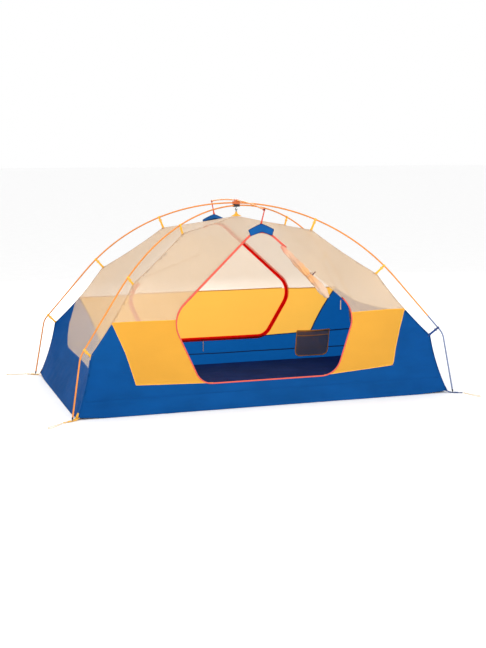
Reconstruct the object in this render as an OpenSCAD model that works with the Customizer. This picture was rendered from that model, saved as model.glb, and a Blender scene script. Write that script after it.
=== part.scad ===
// Freestanding two-pole tent body, pitched without a rainsheet.
// Frame: +X along the length, -Y is the open front door, +Z up, floor on z = 0.
// Two long poles cross at a hub over the middle and run to opposite corners, and
// a short brow pole lies over the hub along Y. The body hangs from twelve clips.
// The two ends differ: -X is the head end, with a mesh window, +X the foot end.

/* [Floor] */
// Length of the floor between the body corners
floor_l = 2235; // [2150:5:2300]
// Width of the floor between the body corners
floor_w = 1300; // [1250:5:1350]
// Height of the body corners, which the pole feet hold off the ground
corner_z = 12; // [8:1:20]

/* [Poles] */
// Outer diameter of the pole tubes
pole_d = 9; // [8:0.5:10]
// Wall thickness of the pole tubes
pole_wall = 0.65; // [0.5:0.05:0.8]
// Height of the main poles' centrelines, halfway between the two, at the hub
peak_z = 1111; // [1105:1:1120]
// Radius that the main poles are bent to over the top
crown_r = 1300; // [1280:5:1320]
// Angle from the top of the crown to where the pole runs straight
crown_half = 48.5; // [47:0.5:50]
// Length of the straight run above each elbow
side_l = 402; // [395:1:410]
// Radius of the factory bend above each leg
elbow_r = 100; // [90:5:120]
// Steepness of each leg below its elbow
leg_lean = 79; // [77:0.5:81]
// Half the height between the two crossing poles
cross_gap = 8; // [7:0.5:9]
// Half the span of the brow pole
brow_half = 514; // [505:1:520]
// Rise of the brow pole from its ends to its middle
brow_rise = 29; // [26:1:32]

/* [Body] */
// Gap from a pole's centreline to the canopy at a clip
clip_drop = 60; // [58:1:64]
// Height of the canopy's apex
apex_z = 1040; // [1035:1:1045]
// Thickness of the fabric and mesh panels
fabric = 0.8; // [0.8:0.1:1]
// How far the front and rear walls lean in for each unit of height
wall_lean = 0.2065; // [0.2:0.0005:0.21]
// Height of the top of the coloured wall panels
panel_z = 500; // [480:5:510]

/* [Doors] */
// Half the width across the shoulders of the front door, before rounding
front_door_half = 556; // [550:1:573]
// Half the width across the shoulders of the rear door, before rounding
rear_door_half = 573; // [560:1:580]
// Height of those shoulders, before rounding
shoulder_z = 511; // [500:1:520]
// Half the width of a door at its sill, before rounding
sill_half = 405; // [395:1:415]
// Height of the front door's sill
front_sill = 150; // [145:1:155]
// Height of the rear door's sill
rear_sill = 180; // [170:1:185]
// Height where the two slanting door edges would meet, before rounding
door_peak = 1008; // [1000:1:1012]
// Width of half of the zip tape
tape_w = 6; // [5:0.5:7]

/* [Hidden] */
half_l = floor_l / 2;
half_w = floor_w / 2;
half_diag = norm([half_l, half_w]);
diag_angle = atan(half_w / half_l);
tube_r = pole_d / 2;
bore_r = tube_r - pole_wall;
seam = 0.8;          // how far each panel stops short of its seam line
slit = 0.6;          // half the gap between the two tapes of a zip
wall_angle = atan(wall_lean);
bottom_z = 1;        // lower edge of the walls between the corners
corner_run = 180;    // length over which the floor's edge rises to a corner

// Points along a main pole in its own upright plane: s outward, z up.
side_top = [crown_r * sin(crown_half), peak_z - crown_r * (1 - cos(crown_half))];
side_dir = [cos(crown_half), -sin(crown_half)];
elbow_top = side_top + side_l * side_dir;
elbow_c = elbow_top - elbow_r * [sin(crown_half), cos(crown_half)];
leg_top = elbow_c + elbow_r * [sin(leg_lean), cos(leg_lean)];
leg_l = leg_top[1] / sin(leg_lean);
foot_s = leg_top[0] + leg_top[1] / tan(leg_lean);

// Main pole sections: five bent to the crown, two straight sides and two legs.
leg_run = 110;       // straight run of a leg section above its elbow
section_a = crown_half * 2 / 5;
joint_gap = 0.4;     // gap between the ends of neighbouring tubes
ferrule_l = 42;      // length of a ferrule inside each tube
ferrule_a = ferrule_l / crown_r * 180 / PI;
ferrule_r = bore_r - 0.05;
stub_r = bore_r - 0.1;    // a straight ferrule whose stub reaches into a bent tube
stub_l = 12;
ferrule_bore = 2.8;
cord_r = 1.25;       // radius of the elastic cord inside the poles
tip_collar = 12;
nib_r = 2.3;

// Clips: angle from the top on the crown, or distance above the elbow.
clip_upper_a = 22;
clip_middle_a = 43.94;
clip_lower_up = 15.6;
function on_crown(a) = [crown_r * sin(a), peak_z - crown_r * (1 - cos(a))];
clip_at = [elbow_top - clip_lower_up * side_dir, on_crown(clip_middle_a), on_crown(clip_upper_a)];
clip_a = [crown_half, clip_middle_a, clip_upper_a];
function hip(k) = clip_at[k] - clip_drop * [sin(clip_a[k]), cos(clip_a[k])];
clip_ring_r = 7.6;
clip_ring_l = 12;
clip_neck_l = 19;
clip_end = 25;       // distance from the pole's centre to the clip's lower end
strap_w = 14;
strap_t = 1.2;

// Canopy corner points for x > 0 and y < 0, as [x, y, z].
function diag_xyz(p) = [p[0] * half_l / half_diag, -p[0] * half_w / half_diag, p[1]];
corner = [half_l, -half_w, corner_z];
hip1 = diag_xyz(hip(0));
hip2 = diag_xyz(hip(1));
hip3 = diag_xyz(hip(2));
apex = [0, 0, apex_z];
function between(p, q, z) = p + (q - p) * (z - p[2]) / (q[2] - p[2]);
function swap_y(p) = [p[0], -p[1], p[2]];

// A point of the sloping front wall from its x and its height.
function on_wall(p) = [p[0], -half_w + wall_lean * (p[1] - corner_z), p[1]];
function walls(points) = [for (p = points) on_wall(p)];

// Outline of a door in the wall's own plane: x, and height along the slope.
function slope(z) = (z - corner_z) / cos(wall_angle);
door_corner_r = [90, 150, 114, 150, 90];
function door_half(sill) = sill == front_sill ? front_door_half : rear_door_half;
function door_corners(sill) = [
    [sill_half, slope(sill)], [door_half(sill), slope(shoulder_z)], [0, slope(door_peak)],
    [-door_half(sill), slope(shoulder_z)], [-sill_half, slope(sill)]];
function unit(v) = v / norm(v);
function line_x(p, d, q, e) = p + d * cross(q - p, e) / cross(d, e);
// The outline moved out by off, each corner rounded with steps + 1 points.
function moved(c, off) = [for (i = [0:len(c) - 1])
    let (p = c[(i + len(c) - 1) % len(c)], q = c[i], r = c[(i + 1) % len(c)],
        d = unit(q - p), e = unit(r - q))
    line_x(q + off * [d[1], -d[0]], d, q + off * [e[1], -e[0]], e)];
// Centre, radius, first angle and turn of each rounded corner.
function door_arcs(sill, off) = let (c = moved(door_corners(sill), off)) [
    for (i = [0:len(c) - 1])
        let (p = c[(i + len(c) - 1) % len(c)], q = c[i], r = c[(i + 1) % len(c)],
            d = unit(q - p), rad = door_corner_r[i] + off, turn = acos(d * unit(r - q)))
        [q - d * rad * tan(turn / 2) + rad * [-d[1], d[0]], rad, atan2(-d[0], d[1]), turn]];
function polar(r, a) = r * [cos(a), sin(a)];
function door_outline(sill, off, steps = 16) = [for (a = door_arcs(sill, off))
    for (s = [0:steps]) a[0] + polar(a[1], a[2] + a[3] * s / steps)];

// Corners of the panels round a door: two that just clear each rounded corner,
// in order from the right of the sill, as points of the front wall.
panel_gap = tape_w + 1;
function up_wall(p) = [p[0], -half_w + p[1] * sin(wall_angle), corner_z + p[1] * cos(wall_angle)];
function skirt(sill) = [for (a = door_arcs(sill, panel_gap))
    for (q = [0.25, 0.75]) up_wall(a[0] + polar(a[1] / cos(a[3] / 4), a[2] + a[3] * q))];

// Lower outer corners of the yellow panels, and the edge between wall and roof.
lower_front = on_wall([780, 165]);
lower_rear = on_wall([735, 195]);
crease = on_wall([0, 990]);
hip_panel = between(hip1, hip2, panel_z);

// Head-end window: heights and places of its lower edge, at x < 0.
window_z = 265;
window_front = -500;
window_turn = 80;
window_rear = 533;
window_hip_z = 482;
window_bend = [hip1[0], window_turn + (window_rear - window_turn)
    * (hip1[2] - window_z) / (window_hip_z - window_z), hip1[2]];
foot_end_z = 485;

// Hub stack, from below.
hub_size = 26;
hub_split = 0.25;
rivet_r = 2.5;
brow_z = peak_z + cross_gap + 15.5;
brow_r = (brow_half ^ 2 + brow_rise ^ 2) / 2 / brow_rise;
brow_a = asin(brow_half / brow_r);
hook_z = peak_z - cross_gap - 22;
hook_r = 6;
ring_z = hook_z - 9.7;
ring_r = 7;

// Brow tabs and vent hoods.
hood_top = [0, -462, 1023];
hood_half = 77;
hood_gap = 2;         // how far its back stands off the wall
tab_w = 18;
tab_t = 1.2;

// Rear door, its hinge edge and its zip.
door_cut_z = 925;    // the door stops below the rear hood
rear_panel_top = 513;

// Sliders and pulls.
slider_l = 14;
slider_w = 7;
slider_back = 0.2;
rear_slider_x = -36;
rear_pull_l = 75;
front_pull_l = 58;

// Pocket on the inside of the rear wall.
pocket_x = [632, 876];
pocket_z = [20, 208];
pocket_depth = 22;
pocket_wall = 1;

// Corner straps, from the body corner to the stake eyelet.
strap_end = 1385;
eyelet_s = 1366;
eyelet_r = 5;
corner_w = 25;
corner_t = 1.6;
strap_z = 3;

// Stake-out cords: one loop each, lying on the ground beyond a corner strap.
loop_r = 1.5;
loop_out = 1389.2;
loop_route = [
    [0, 4, 3], [16, 4, 2], [34, 6, 1.5], [54, 8, 1.5], [74, 10, 1.5], [94, 11, 1.5], [110, 11, 1.5],
    [121, 8, 1.5], [127, 2, 1.5], [127, -5, 1.5], [120, -11, 1.5], [108, -13, 1.5], [92, -12, 1.5],
    [72, -9, 1.5], [52, -7, 1.5], [34, -5, 1.5], [16, -4, 2], [0, -4, 3]];
// Side of the length, side of the width, and heading of each cord.
LOOPS = [
    ["stake_loop_front_left", -1, -1, 225], ["stake_loop_rear_left", -1, 1, 170],
    ["stake_loop_front_right", 1, -1, 292], ["stake_loop_rear_right", 1, 1, 10]];

// Name, pole (1 is A, the upper one), side of its length, and place of each clip.
CLIPS = [
    for (leg = [["front_left", -1, -1], ["rear_right", -1, 1], ["rear_left", 1, -1], ["front_right", 1, 1]])
        for (k = [0:2]) [str("clip_", leg[0], ["_low", "_middle", "_top"][k]), leg[1], leg[2], k]];

// ---- shapes that repeat ----

// Puts (s, 0, z) in a main pole's upright plane. Pole 1 is A, pole -1 is B.
module in_pole(pole) {
    rotate([0, 0, -pole * diag_angle]) translate([0, 0, pole * cross_gap]) children();
}

// Arc of a tube in the XZ plane about the origin, from angle a0 to a1 off +Z towards +X,
// less half a joint's gap at each end.
module arc_tube(r, a0, a1, outer, inner) {
    gap = joint_gap / 2 / r * 180 / PI;
    rotate([90, 0, 0]) rotate([0, 0, 90 - a1 + gap])
        rotate_extrude(angle = a1 - a0 - 2 * gap, $fn = r > 2000 ? 720 : 240)
            translate([r, 0]) difference() {
                circle(r = outer, $fn = 24);
                circle(r = inner, $fn = 24);
            }
}

// Solid rod along an arc, which cuts a pole's channel.
module arc_rod(r, a0, a1, outer) {
    rotate([90, 0, 0]) rotate([0, 0, 90 - a1]) rotate_extrude(angle = a1 - a0, $fn = 720)
        translate([r, 0]) circle(r = outer, $fn = 24);
}

// Straight tube in the XZ plane from point p, along direction a below the horizontal,
// less half a joint's gap at each end.
module straight_tube(p, a, l, outer, inner) {
    translate([p[0], 0, p[1]]) rotate([0, 90 + a, 0]) translate([0, 0, joint_gap / 2]) difference() {
        cylinder(r = outer, h = l - joint_gap, $fn = 24);
        translate([0, 0, -1]) cylinder(r = inner, h = l + 2, $fn = 24);
    }
}

module crown_arc(a0, a1, outer, inner) {
    translate([0, 0, peak_z - crown_r]) arc_tube(crown_r, a0, a1, outer, inner);
}

// Panel of fabric: a flat convex polygon, anticlockwise from outside, thickened inward.
module plate(points, t = fabric, inset = seam) {
    n = len(points);
    normal = unit(cross(points[1] - points[0], points[2] - points[1]));
    outer = [for (i = [0:n - 1])
        let (a = unit(points[(i + n - 1) % n] - points[i]), b = unit(points[(i + 1) % n] - points[i]))
        points[i] + (a + b) * inset / norm(cross(a, b))];
    inner = [for (p = outer) p - normal * t];
    polyhedron(concat(outer, inner), concat(
        [[for (i = [n - 1:-1:0]) i]], [[for (i = [0:n - 1]) n + i]],
        [for (i = [0:n - 1]) [i, (i + 1) % n, n + (i + 1) % n, n + i]]));
}

// The same panel on both sides of the X = 0 plane.
module both_ends() {
    children();
    mirror([1, 0, 0]) children();
}

module rear() {
    mirror([0, 1, 0]) children();
}

// Puts a drawing of x and height along the slope on the front wall, thickened inward.
module on_front_wall(t = fabric) {
    translate([0, -half_w, corner_z]) rotate([90 - wall_angle, 0, 0]) translate([0, 0, -t])
        linear_extrude(t) children();
}

// Half of a zip, without the slanting edge that the door is sewn along.
// The door is sewn on its right (side 1) or its left (side -1).
module zip_tape(sill, from, to, side) {
    on_front_wall() difference() {
        polygon(door_outline(sill, to));
        polygon(door_outline(sill, from));
        polygon([for (p = [[118, 866], [158, 912], [498, 616], [458, 570]]) [side * p[0], slope(p[1])]]);
    }
}

// Round tube swept through points, closed at both ends.
module swept(points, r, sides) {
    n = len(points);
    function along(i) = unit(points[min(i + 1, n - 1)] - points[max(i - 1, 0)]);
    rings = [for (i = [0:n - 1])
        let (d = along(i), side = unit(cross([0, 0, 1], d)), up = cross(d, side))
        for (j = [0:sides - 1]) points[i] + r * (cos(360 * j / sides) * side + sin(360 * j / sides) * up)];
    function near(i, j) = i * sides + j % sides;
    polyhedron(rings, concat(
        [[for (j = [0:sides - 1]) j]],
        [[for (j = [sides - 1:-1:0]) (n - 1) * sides + j]],
        [for (i = [0:n - 2]) for (j = [0:sides - 1])
            [near(i, j), near(i + 1, j), near(i + 1, j + 1), near(i, j + 1)]]));
}

// ---- poles ----

module crown_sections(pole) {
    in_pole(pole) for (i = [-2:2])
        crown_arc((i - 0.5) * section_a, (i + 0.5) * section_a, tube_r, bore_r);
}

module side_sections(pole) in_pole(pole) for (m = [0, 1]) mirror([m, 0, 0])
    straight_tube(side_top, crown_half, side_l - leg_run, tube_r, bore_r);

// A leg: a straight run, a formed elbow and the leg proper.
module pole_leg(pole, side) {
    start = elbow_top - leg_run * side_dir;
    in_pole(pole) mirror([side < 0 ? 1 : 0, 0, 0]) {
        straight_tube(start, crown_half, leg_run, tube_r, bore_r);
        translate([elbow_c[0], 0, elbow_c[1]]) arc_tube(elbow_r, crown_half, leg_lean, tube_r, bore_r);
        straight_tube(leg_top, leg_lean, leg_l + pole * cross_gap / sin(leg_lean) - 22, tube_r, bore_r);
    }
}

module pole_a_crown_sections() color("darkorange") crown_sections(1);
module pole_b_crown_sections() color("darkorange") crown_sections(-1);
module pole_a_side_sections() color("darkorange") side_sections(1);
module pole_b_side_sections() color("darkorange") side_sections(-1);
module pole_legs_orange() color("darkorange") for (pole = [-1, 1]) pole_leg(pole, -1);
module pole_legs_blue() color("slateblue") for (pole = [-1, 1]) pole_leg(pole, 1);

module pole_ferrules() color("silver") for (pole = [-1, 1]) in_pole(pole) {
    for (i = [-2:1])
        crown_arc((i + 0.5) * section_a - ferrule_a, (i + 0.5) * section_a + ferrule_a,
            ferrule_r, ferrule_bore);
    for (m = [0, 1]) mirror([m, 0, 0]) {
        straight_tube(side_top - stub_l * side_dir, crown_half, stub_l + ferrule_l, stub_r, 2.4);
        straight_tube(elbow_top - (leg_run + ferrule_l) * side_dir, crown_half, 2 * ferrule_l,
            ferrule_r, ferrule_bore);
    }
}

// Tips that plug the legs and stand in the corner grommets.
module pole_tips() color("dimgray") for (pole = [-1, 1]) in_pole(pole) for (m = [0, 1])
    mirror([m, 0, 0]) translate([foot_s + pole * cross_gap / tan(leg_lean), 0, -pole * cross_gap])
        rotate([0, leg_lean - 90, 0]) {
            translate([0, 0, nib_r]) sphere(r = nib_r, $fn = 24);
            translate([0, 0, nib_r]) cylinder(r = nib_r, h = 12, $fn = 24);
            translate([0, 0, 10]) cylinder(r = tube_r, h = tip_collar - 0.2, $fn = 24);
            translate([0, 0, 20]) cylinder(r = ferrule_r, h = 24, $fn = 24);
        }

// Elastic cord through every section of a main pole.
module shock_cords() color("white") for (pole = [-1, 1]) in_pole(pole) {
    half = concat(
        [for (i = [1:10]) on_crown(crown_half * i / 10)],
        [elbow_top - side_dir * side_l / 2, elbow_top],
        [for (i = [1:3]) let (a = crown_half + (leg_lean - crown_half) * i / 3)
            elbow_c + elbow_r * [sin(a), cos(a)]],
        [leg_top + leg_l * 0.8 * [cos(leg_lean), -sin(leg_lean)]]);
    n = len(half);
    swept(concat([for (i = [n - 1:-1:0]) [-half[i][0], 0, half[i][1]]], [[0, 0, peak_z]],
        [for (p = half) [p[0], 0, p[1]]]), cord_r, 6);
}

// ---- brow pole and hub ----

module brow_pole() color("darkorange") rotate([0, 0, 90]) translate([0, 0, brow_z - brow_r])
    arc_tube(brow_r, -brow_a, brow_a, tube_r, bore_r);

module brow_pole_tips() color("black") for (m = [0, 1]) mirror([0, m, 0])
    translate([0, brow_half, brow_z - brow_rise]) rotate([-90 - brow_a, 0, 0]) {
        translate([0, 0, 0.2]) cylinder(r1 = tube_r, r2 = 3, h = 8, $fn = 24);
        translate([0, 0, -16]) cylinder(r = bore_r - 0.05, h = 16.3, $fn = 24);
    }

// Half a swivel hub: a block with the pole's channel through it and a rivet hole.
module hub_block(pole) {
    z0 = peak_z + pole * cross_gap;
    low = pole < 0 ? z0 - 8 : peak_z + hub_split;
    high = pole < 0 ? peak_z - hub_split : z0 + 9;
    difference() {
        rotate([0, 0, -pole * diag_angle]) translate([0, 0, low]) intersection() {
            translate([-hub_size, -9, 0]) cube([2 * hub_size, 18, high - low]);
            cylinder(r = hub_size - 2, h = high - low, $fn = 48);
        }
        in_pole(pole) translate([0, 0, peak_z - crown_r]) arc_rod(crown_r, -2, 2, tube_r + 0.05);
        translate([0, 0, pole < 0 ? z0 : low - 1]) cylinder(r = rivet_r, h = 8, $fn = 24);
        if (pole > 0) translate([0, 0, z0 + 4.6]) cylinder(r = rivet_r, h = 8, $fn = 24);
    }
}

module hub_lower() color("black") hub_block(-1);
module hub_upper() color("black") hub_block(1);

module hub_rivets() color("silver") {
    translate([0, 0, peak_z - 3.2]) cylinder(r = rivet_r - 0.05, h = 6.4, $fn = 24);
    translate([0, 0, peak_z + cross_gap + 4.8]) cylinder(r = rivet_r - 0.05, h = 5.6, $fn = 24);
}

// Saddle that carries the brow pole and turns on the upper rivet.
module brow_saddle() color("black") difference() {
    translate([-8, -20, peak_z + cross_gap + 9.3]) cube([16, 40, 12]);
    rotate([0, 0, 90]) translate([0, 0, brow_z - brow_r]) arc_rod(brow_r, -1, 1, tube_r + 0.05);
    translate([0, 0, peak_z + cross_gap + 8]) cylinder(r = rivet_r + 0.1, h = 2.8, $fn = 24);
}

// Hook under the hub, with the ring that the apex webbing is sewn to.
module crown_hook() color("black") {
    translate([0, 0, hook_z + hook_r]) cylinder(r = 2, h = 8, $fn = 24);
    translate([0, 0, hook_z]) rotate([90, 0, 0]) rotate([0, 0, 90])
        rotate_extrude(angle = 290, $fn = 64) translate([hook_r, 0]) circle(r = 2, $fn = 20);
    translate([0, 0, ring_z]) rotate([0, 90, 0]) rotate_extrude($fn = 64)
        translate([ring_r, 0]) circle(r = 1.2, $fn = 16);
}

module apex_loop() color("gold") {
    top = ring_z - ring_r - 1.8;
    translate([0, strap_t / 2, 0]) rotate([90, 0, 0]) linear_extrude(strap_t)
        polygon([[-30, apex_z + 1], [30, apex_z + 1], [6, top], [-6, top]]);
}

// ---- clips ----

// A clip, in its own frame: the pole runs along Y, the canopy is towards -Z.
module clip_shape() {
    rotate([90, 0, 0]) translate([0, 0, -clip_ring_l / 2]) linear_extrude(clip_ring_l) difference() {
        union() {
            circle(r = clip_ring_r, $fn = 48);
            translate([-2, -clip_neck_l]) square([4, clip_neck_l]);
        }
        circle(r = tube_r + 0.15, $fn = 48);
        rotate([0, 0, 20]) translate([0, -3]) square([20, 6]);
    }
    difference() {
        translate([-2, -strap_w / 2 - 2.5, -clip_end]) cube([4, strap_w + 5, clip_end - clip_neck_l + 3]);
        translate([-3, -strap_w / 2 - 0.4, -clip_end + 2.4]) cube([6, strap_w + 0.8, 2.6]);
    }
}

// Puts a clip's frame on its pole.
module at_clip(pole, side, k) {
    in_pole(pole) mirror([side < 0 ? 1 : 0, 0, 0]) translate([clip_at[k][0], 0, clip_at[k][1]])
        rotate([0, clip_a[k], 0]) rotate([0, 0, 90]) children();
}

// The lowest clips of the foot end are blue, as their legs are.
module clip(c) color(c[2] > 0 && c[3] == 0 ? "navy" : "gold") at_clip(c[1], c[2], c[3]) clip_shape();

// Webbing from each clip to the seam of the canopy.
module clip_straps() color("gold") for (c = CLIPS) {
    drop = clip_drop + c[1] * cross_gap * cos(clip_a[c[3]]);
    at_clip(c[1], c[2], c[3]) translate([-strap_t / 2, -strap_w / 2, -drop])
        cube([strap_t, strap_w, drop - clip_end - 0.5]);
}

// ---- brow tabs and vent hoods ----

module brow_tab() {
    tip = [0, -brow_half - 9, brow_z - brow_rise - 3];
    run = tip - hood_top;
    lean = atan2(-run[1], run[2]);
    translate(hood_top) rotate([lean, 0, 0]) translate([-tab_w / 2, -tab_t / 2, 2])
        cube([tab_w, tab_t, norm(run) - 7]);
}

// Outer shape of a hood, as points in front of the wall's plane: its peak, its rim and its back.
module vent_hood() {
    front = concat([hood_top], [for (m = [-1, 1]) for (p = [[hood_half, 985, -14], [hood_half - 12, 950, -8]])
        on_wall([m * p[0], p[1]]) + [0, p[2], 0]]);
    back = concat([on_wall([0, 1008]) + [0, -hood_gap, 0]], [for (m = [-1, 1])
        for (p = [[hood_half - 6, 978], [hood_half - 14, 952]])
            on_wall([m * p[0], p[1]]) + [0, -hood_gap, 0]]);
    hull() polyhedron(concat(front, back),
        [[0, 1, 2], [0, 3, 4], [1, 2, 6], [3, 4, 8], [5, 6, 7], [5, 8, 9]]);
}

module brow_tab_front() color("orangered") brow_tab();
module brow_tab_rear() color("orangered") rear() brow_tab();
module vent_hoods() color("royalblue") {
    vent_hood();
    rear() vent_hood();
}

// ---- floor and walls ----

edge_x = half_l - corner_run;
edge_y = half_w - corner_run;
end_low = between(corner, hip1, bottom_z);
end_edge = [end_low[0], -edge_y, bottom_z];

module floor_sheet() color("midnightblue") {
    main = [for (p = [[-edge_x, -half_w], [edge_x, -half_w], [half_l, -edge_y], [half_l, edge_y],
        [edge_x, half_w], [-edge_x, half_w], [-half_l, edge_y], [-half_l, -edge_y]]) [p[0], p[1], 1]];
    plate(main, t = 1);
    for (m = [0, 1]) mirror([0, m, 0]) both_ends()
        plate([[edge_x, -half_w, 1], corner + [-1, 1, -1], [half_l, -edge_y, 1]], t = 1);
}

// Foot end (x > 0) and head end (x < 0) of the bathtub.
module end_strip() {
    plate([end_edge, swap_y(end_edge), swap_y(corner), swap_y(between(corner, hip1, 40)),
        between(corner, hip1, 40), corner]);
}

module bathtub_ends() color("royalblue") {
    strip_top = between(corner, hip1, 40);
    foot_top = between(hip1, hip2, foot_end_z);
    low = between(corner, hip1, window_z);
    both_ends() end_strip();
    plate([strip_top, swap_y(strip_top), swap_y(hip1), hip1]);
    plate([hip1, swap_y(hip1), swap_y(foot_top), foot_top]);
    mirror([1, 0, 0]) {
        plate([strip_top, swap_y(strip_top), swap_y(low), low]);
        plate([low, [low[0], window_front, window_z], hip1]);
        plate([[low[0], window_turn, window_z], swap_y(low), swap_y(hip1), window_bend]);
        plate([window_bend, swap_y(hip1), swap_y(between(hip1, hip2, window_hip_z))]);
    }
}

module mesh_ends() color("wheat") {
    foot_top = between(hip1, hip2, foot_end_z);
    low = between(corner, hip1, window_z);
    both_ends() {
        plate([hip2, swap_y(hip2), swap_y(hip3), hip3]);
        plate([hip3, swap_y(hip3), apex]);
    }
    plate([foot_top, swap_y(foot_top), swap_y(hip2), hip2]);
    mirror([1, 0, 0]) {
        plate([[low[0], window_front, window_z], [low[0], window_turn, window_z], window_bend, hip1]);
        plate([hip1, window_bend, swap_y(between(hip1, hip2, window_hip_z)), swap_y(hip2), hip2]);
    }
}

// Blue lower wall: a long strip under the door and a triangle beside each panel.
module bathtub_wall(sill, low_panel) {
    edge = skirt(sill);
    reach = between(corner, low_panel, edge[0][2]);
    plate([on_wall([-edge_x, bottom_z]), on_wall([edge_x, bottom_z]), corner, reach,
        [-reach[0], reach[1], reach[2]], [-corner[0], corner[1], corner[2]]]);
    both_ends() {
        plate([edge[0], reach, low_panel, between(edge[0], edge[1], low_panel[2])]);
        plate([corner, hip1, low_panel]);
        plate([hip1, hip_panel, low_panel]);
    }
}

module bathtub_front() color("royalblue") bathtub_wall(front_sill, lower_front);
module bathtub_rear() color("royalblue") rear() bathtub_wall(rear_sill, lower_rear);

// Yellow panels on both sides of a door.
module side_panels(sill, low_panel) both_ends() {
    edge = skirt(sill);
    top = between(edge[2], edge[3], panel_z);
    plate([between(edge[0], edge[1], low_panel[2]), low_panel, edge[1]]);
    plate([edge[1], low_panel, edge[2]]);
    plate([edge[2], low_panel, top]);
    plate([low_panel, hip_panel, top]);
}

module front_panels() color("orange") side_panels(front_sill, lower_front);
module rear_panels() color("orange") rear() side_panels(rear_sill, lower_rear);

// Mesh above the panels, beside the door and over the roof.
module mesh_side(sill) {
    edge = skirt(sill);
    plate([edge[5], edge[4], crease]);
    both_ends() {
        plate([between(edge[2], edge[3], panel_z), hip_panel, edge[3]]);
        plate([edge[3], hip_panel, hip2]);
        plate([edge[3], hip2, hip3]);
        plate([edge[3], hip3, edge[4]]);
        plate([edge[4], hip3, crease]);
        plate([crease, hip3, apex]);
    }
}

module mesh_front() color("wheat") mesh_side(front_sill);
module mesh_rear() color("wheat") rear() mesh_side(rear_sill);

// ---- doors and zips ----

module door_part(z0, z1) {
    rear() on_front_wall() intersection() {
        polygon(door_outline(rear_sill, -tape_w - slit));
        translate([-floor_w, slope(z0)]) square([2 * floor_w, slope(z1) - slope(z0)]);
    }
}

module rear_door_mesh() color("wheat") door_part(rear_panel_top + 0.4, door_cut_z);
module rear_door_panel() color("orange") door_part(rear_sill, rear_panel_top - 0.4);

// The door's own half of the zip, which moves with it below the hood.
module rear_door_zip() color("firebrick") rear() difference() {
    zip_tape(rear_sill, -tape_w, -slit, -1);
    translate([-floor_w / 2, -floor_w, door_cut_z]) cube([floor_w, floor_w, floor_w]);
}

module front_zip() color("tomato") zip_tape(front_sill, slit, tape_w, 1);
module rear_zip() color("firebrick") rear() zip_tape(rear_sill, slit, tape_w, -1);

// The front door, rolled up along its hinge edge and tied by a toggle.
roll_top = [140, 868];
roll_low = [372, 618];
module rolled_door() color("peachpuff") hull() {
    translate(on_wall(roll_top) + [0, -8, 0]) sphere(r = 20, $fn = 24);
    translate(on_wall([262, 748]) + [0, -12, 0]) sphere(r = 26, $fn = 24);
    translate(on_wall(roll_low) + [0, -8, 0]) sphere(r = 22, $fn = 24);
}

// Barrel toggle that holds the roll, hanging on its loop.
toggle_at = on_wall([292, 736]) + [0, -48, 0];
module door_toggle() color("maroon") translate(toggle_at) rotate([0, 45, 0])
    translate([0, 0, -14]) cylinder(r = 4, h = 28, $fn = 24);

// A slider in its own frame: travel along X, the panel in the XY plane, outside at +Z.
// It grips the wall's half of the zip only, which is towards -Y.
module slider_shape() {
    for (z = [0.35, -fabric - 2.15]) translate([-slider_l / 2, -slider_w, z]) cube([slider_l, slider_w, 1.8]);
    translate([-slider_l / 2, -slider_back, -fabric - 2]) cube([slider_l, slider_back, fabric + 4]);
}

// Puts a slider's frame at a point of the wall, turned by a in the wall's plane.
module on_zip(p, a) {
    translate(on_wall(p)) rotate([90 - wall_angle, 0, 0]) rotate([0, 0, a]) children();
}

// Pull: an eye and a flat cord that hangs from it, on the inside of the wall.
module pull_shape(l) {
    rotate([0, 90, 0]) translate([0, 0, -3]) difference() {
        cylinder(r = 3.2, h = 6, $fn = 24);
        translate([0, 0, -1]) cylinder(r = 1.5, h = 8, $fn = 24);
    }
    translate([-2, -1, -l]) cube([4, 2, l - 2.6]);
}

// The front slider is where the shoulder's arc ends and the sewn edge begins.
front_shoulder = door_arcs(front_sill, 0)[1];
front_slider_a = front_shoulder[2] + front_shoulder[3] - 90;
front_slider_flat = front_shoulder[0] + polar(front_shoulder[1], front_slider_a + 90);
front_slider_at = [front_slider_flat[0], corner_z + front_slider_flat[1] * cos(wall_angle)];
front_pull_at = on_wall(front_slider_at) + [-6, 9, -9];
rear_pull_at = on_wall([rear_slider_x, rear_sill]) + [0, 9, -7];

module front_slider() color("firebrick") on_zip(front_slider_at, front_slider_a)
    mirror([0, 1, 0]) slider_shape();
module front_pull() color("burlywood") translate(front_pull_at) pull_shape(front_pull_l);
module rear_slider() color("firebrick") rear() on_zip([rear_slider_x, rear_sill], 0) slider_shape();
module rear_pull() color("burlywood") rear() translate(rear_pull_at) pull_shape(rear_pull_l);

// ---- pocket ----

module pocket_prism(x, z, from, to) translate([x[0], 0, 0]) rotate([90, 0, 90])
    linear_extrude(x[1] - x[0])
    polygon([[on_wall([0, z[0]])[1] + from, z[0]], [on_wall([0, z[0]])[1] + to, z[0]],
        [on_wall([0, z[1]])[1] + to, z[1]], [on_wall([0, z[1]])[1] + from, z[1]]]);
module mesh_pocket() color("darkgoldenrod") rear() difference() {
    pocket_prism(pocket_x, pocket_z, fabric + pocket_wall, pocket_depth);
    pocket_prism(pocket_x + [pocket_wall, -pocket_wall], pocket_z + [pocket_wall, pocket_wall],
        0, pocket_depth - pocket_wall);
}

// ---- corners ----

// Children in the upright plane of each corner's diagonal.
module at_corners() {
    for (y = [0, 1]) mirror([0, y, 0]) both_ends() rotate([0, 0, -diag_angle]) children();
}

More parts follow.
